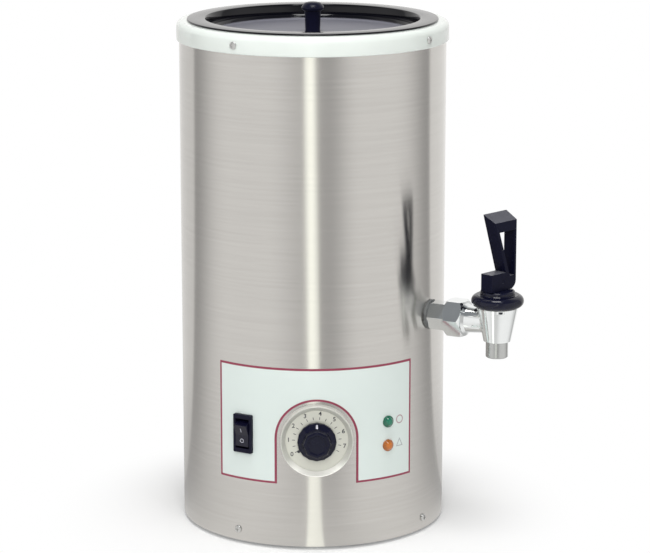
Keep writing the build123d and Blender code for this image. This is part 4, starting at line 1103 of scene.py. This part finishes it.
class WAX_OT_stage(BuildStep, bpy.types.Operator):
    """Floor, white room, lights and camera"""

    bl_idname = "wax.stage"
    bl_label = "Stage"

    def build(self, scene):
        props = scene.wax_stage
        self.room(scene, props)
        self.floor()
        self.lights(scene, props)
        view = bpy.data.cameras.new("view")
        view.lens = props.lens / MM
        view.sensor_width = 36.0
        view.sensor_fit = "HORIZONTAL"
        camera = linked("view", view)
        camera.location = (props.sideways, -props.distance, props.height)
        camera.rotation_euler = (pi / 2 - CAMERA_DOWN, 0.0, CAMERA_TURN)
        scene.camera = camera
        scene.view_settings.view_transform = "Standard"

    def surroundings(self, g, x, y, away=None):
        """What metal sees of the studio, by direction on the floor plan; close by, the floor evens it out."""
        turn = g.azimuth(x, y) * (180 / pi)
        off = (turn - MIDDLE).abs()
        flag, behind = off.ramp(*FLAG), off.ramp(*FLAG_EDGE)
        gap = 1.0 - turn.ramp(GAP_DEG, GAP_DEG + GAP_RIGHT)
        gap = gap * gap * turn.ramp(GAP_DEG - GAP_LEFT, GAP_DEG)
        ahead = AHEAD - flag * flag * FLAG_LOSS - gap * GAP_LOSS
        back = turn.ramp(-1.0, 1.0) * BACK_RIGHT + BACK_LEFT
        back = back + (1.0 - back) * off.ramp(150.0, 175.0)
        room = g.mix(ahead + (back - ahead) * behind, (0.0, 0.0, 0.0), (1.0, 0.99, 0.975))
        aside, strength = turn - STRIP_DEG, 1.0
        if away:
            near = g.mix(turn.abs().ramp(40.0, 112.0), (0.93, 0.92, 0.90), (0.50, 0.495, 0.49))
            room = g.mix(away.ramp(100.0, 620.0) * 0.7 + 0.3, near, room)
            # on the floor the strip leans to one side, most of all close by
            aside = aside - (1.0 - away.ramp(200.0, 2900.0)) * STRIP_LEAN
            strength = away.ramp(100.0, 900.0) * 0.35 + 0.65
        return g.mix((1.0 - aside.abs().ramp(*STRIP)) * strength, room, STRIP_LIGHT)

    def room(self, scene, props):
        world = bpy.data.worlds.new("white_room")
        world.use_nodes = True
        scene.world = world
        g = Graph(world.node_tree)
        ray = g.node("ShaderNodeTexCoord", output="Generated")
        x, y, z = [g.part(ray, axis) for axis in "XYZ"]
        glossy, through, camera = g.rays("Is Glossy Ray", "Is Transmission Ray", "Is Camera Ray")
        level = props.level
        ceiling = (z.ramp(0.34, 0.6) * (1.0 - y.ramp(-0.2, 0.3))).most(z.ramp(0.7, 0.9))
        studio = g.mix(ceiling, self.surroundings(g, x, y), (0.24, 0.25, 0.26))
        tone = g.mix(glossy.most(through), (level, level, level * 0.99), studio)
        light = g.node("ShaderNodeBackground", inputs={"Color": g.mix(camera, tone, (1.0, 1.0, 1.0)),
                                                       "Strength": 1.0})
        g.node("ShaderNodeOutputWorld", inputs={"Surface": light})

    def floor(self):
        """Pale floor: matt near the object, plain white further off; metal sees the studio in it."""
        half, low = 6000.0, -0.05
        floor = solid("floor", [(x, y, low) for x, y in oblong(half, half)], [[0, 1, 2, 3]], Matrix())
        made = bpy.data.materials.new("floor_white")
        made.use_nodes = True
        g = Graph(made.node_tree)
        x, y, z = g.place()
        away = (x * x + y * y).root()
        cloud = g.mix(g.grain(300.0, detail=2.0), (0.93, 0.93, 0.93), (0.96, 0.96, 0.95))
        matt = g.node("ShaderNodeBsdfDiffuse", inputs={"Color": cloud})
        white, studio = [g.node("ShaderNodeEmission", inputs={"Color": light, "Strength": 1.0})
                         for light in ((1, 1, 1, 1), self.surroundings(g, x, y, away))]
        camera, glossy = g.rays("Is Camera Ray", "Is Glossy Ray")
        shown = g.node("ShaderNodeMixShader", inputs=(camera * away.ramp(70.0, 230.0), matt, white))
        shown = g.node("ShaderNodeMixShader", inputs=(glossy * away.ramp(60.0, 110.0), shown, studio))
        g.node("ShaderNodeOutputMaterial", inputs={"Surface": shown})
        floor.data.materials.append(made)

    def lights(self, scene, props):
        """Large soft lights, of which gloss shows only the top one, and a small one that makes the glints."""
        for name, place, size, share in (
                ("key", (0.0, -2.2, 1.5), 0.9, 1.0), ("fill", (-1.9, -0.6, 1.0), 1.2, 0.2),
                ("top", (0.0, -0.6, 2.2), 0.9, 0.95), ("glint", (0.5, -1.3, 1.9), 0.25, 0.04)):
            lamp = bpy.data.lights.new(name, "AREA")
            lamp.energy = props.key * share
            lamp.size = size
            made = linked(name, lamp)
            made.location = place
            made.rotation_euler = (Vector((0, 0, 0.2)) - Vector(place)).to_track_quat("-Z", "Y").to_euler()
            made.visible_glossy = name in ("top", "glint")
            made.visible_camera = False


OPERATORS = (WAX_OT_shell, WAX_OT_collar, WAX_OT_screws, WAX_OT_lid, WAX_OT_panel, WAX_OT_dial, WAX_OT_switch,
             WAX_OT_lamps, WAX_OT_tap, WAX_OT_lever, WAX_OT_fittings, WAX_OT_stage)
GROUPS = {"wax_shell": ShellProps, "wax_panel": PanelProps, "wax_tap": TapProps, "wax_stage": StageProps}


class WAX_PT_build(bpy.types.Panel):
    """Lists the build steps and the sizes and colours they use"""

    bl_label = "Wax dispenser"
    bl_idname = "WAX_PT_build"
    bl_space_type = "VIEW_3D"
    bl_region_type = "UI"
    bl_category = "Wax dispenser"

    def draw(self, context):
        for group in GROUPS:
            box = self.layout.box()
            props = getattr(context.scene, group)
            for key in props.__annotations__:
                box.prop(props, key)
        for operator in OPERATORS:
            self.layout.operator(operator.bl_idname)


def register():
    for group, kind in GROUPS.items():
        bpy.utils.register_class(kind)
        setattr(bpy.types.Scene, group, bpy.props.PointerProperty(type=kind))
    for kind in (*OPERATORS, WAX_PT_build):
        bpy.utils.register_class(kind)


def unregister():
    for kind in (WAX_PT_build, *reversed(OPERATORS)):
        bpy.utils.unregister_class(kind)
    for group, kind in GROUPS.items():
        delattr(bpy.types.Scene, group)
        bpy.utils.unregister_class(kind)


def main():
    register()
    for operator in OPERATORS:
        name = operator.bl_idname.split(".")[1]
        if getattr(bpy.ops.wax, name)() != {"FINISHED"}:
            raise RuntimeError("the build step " + name + " did not finish")


if __name__ == "__main__":
    main()
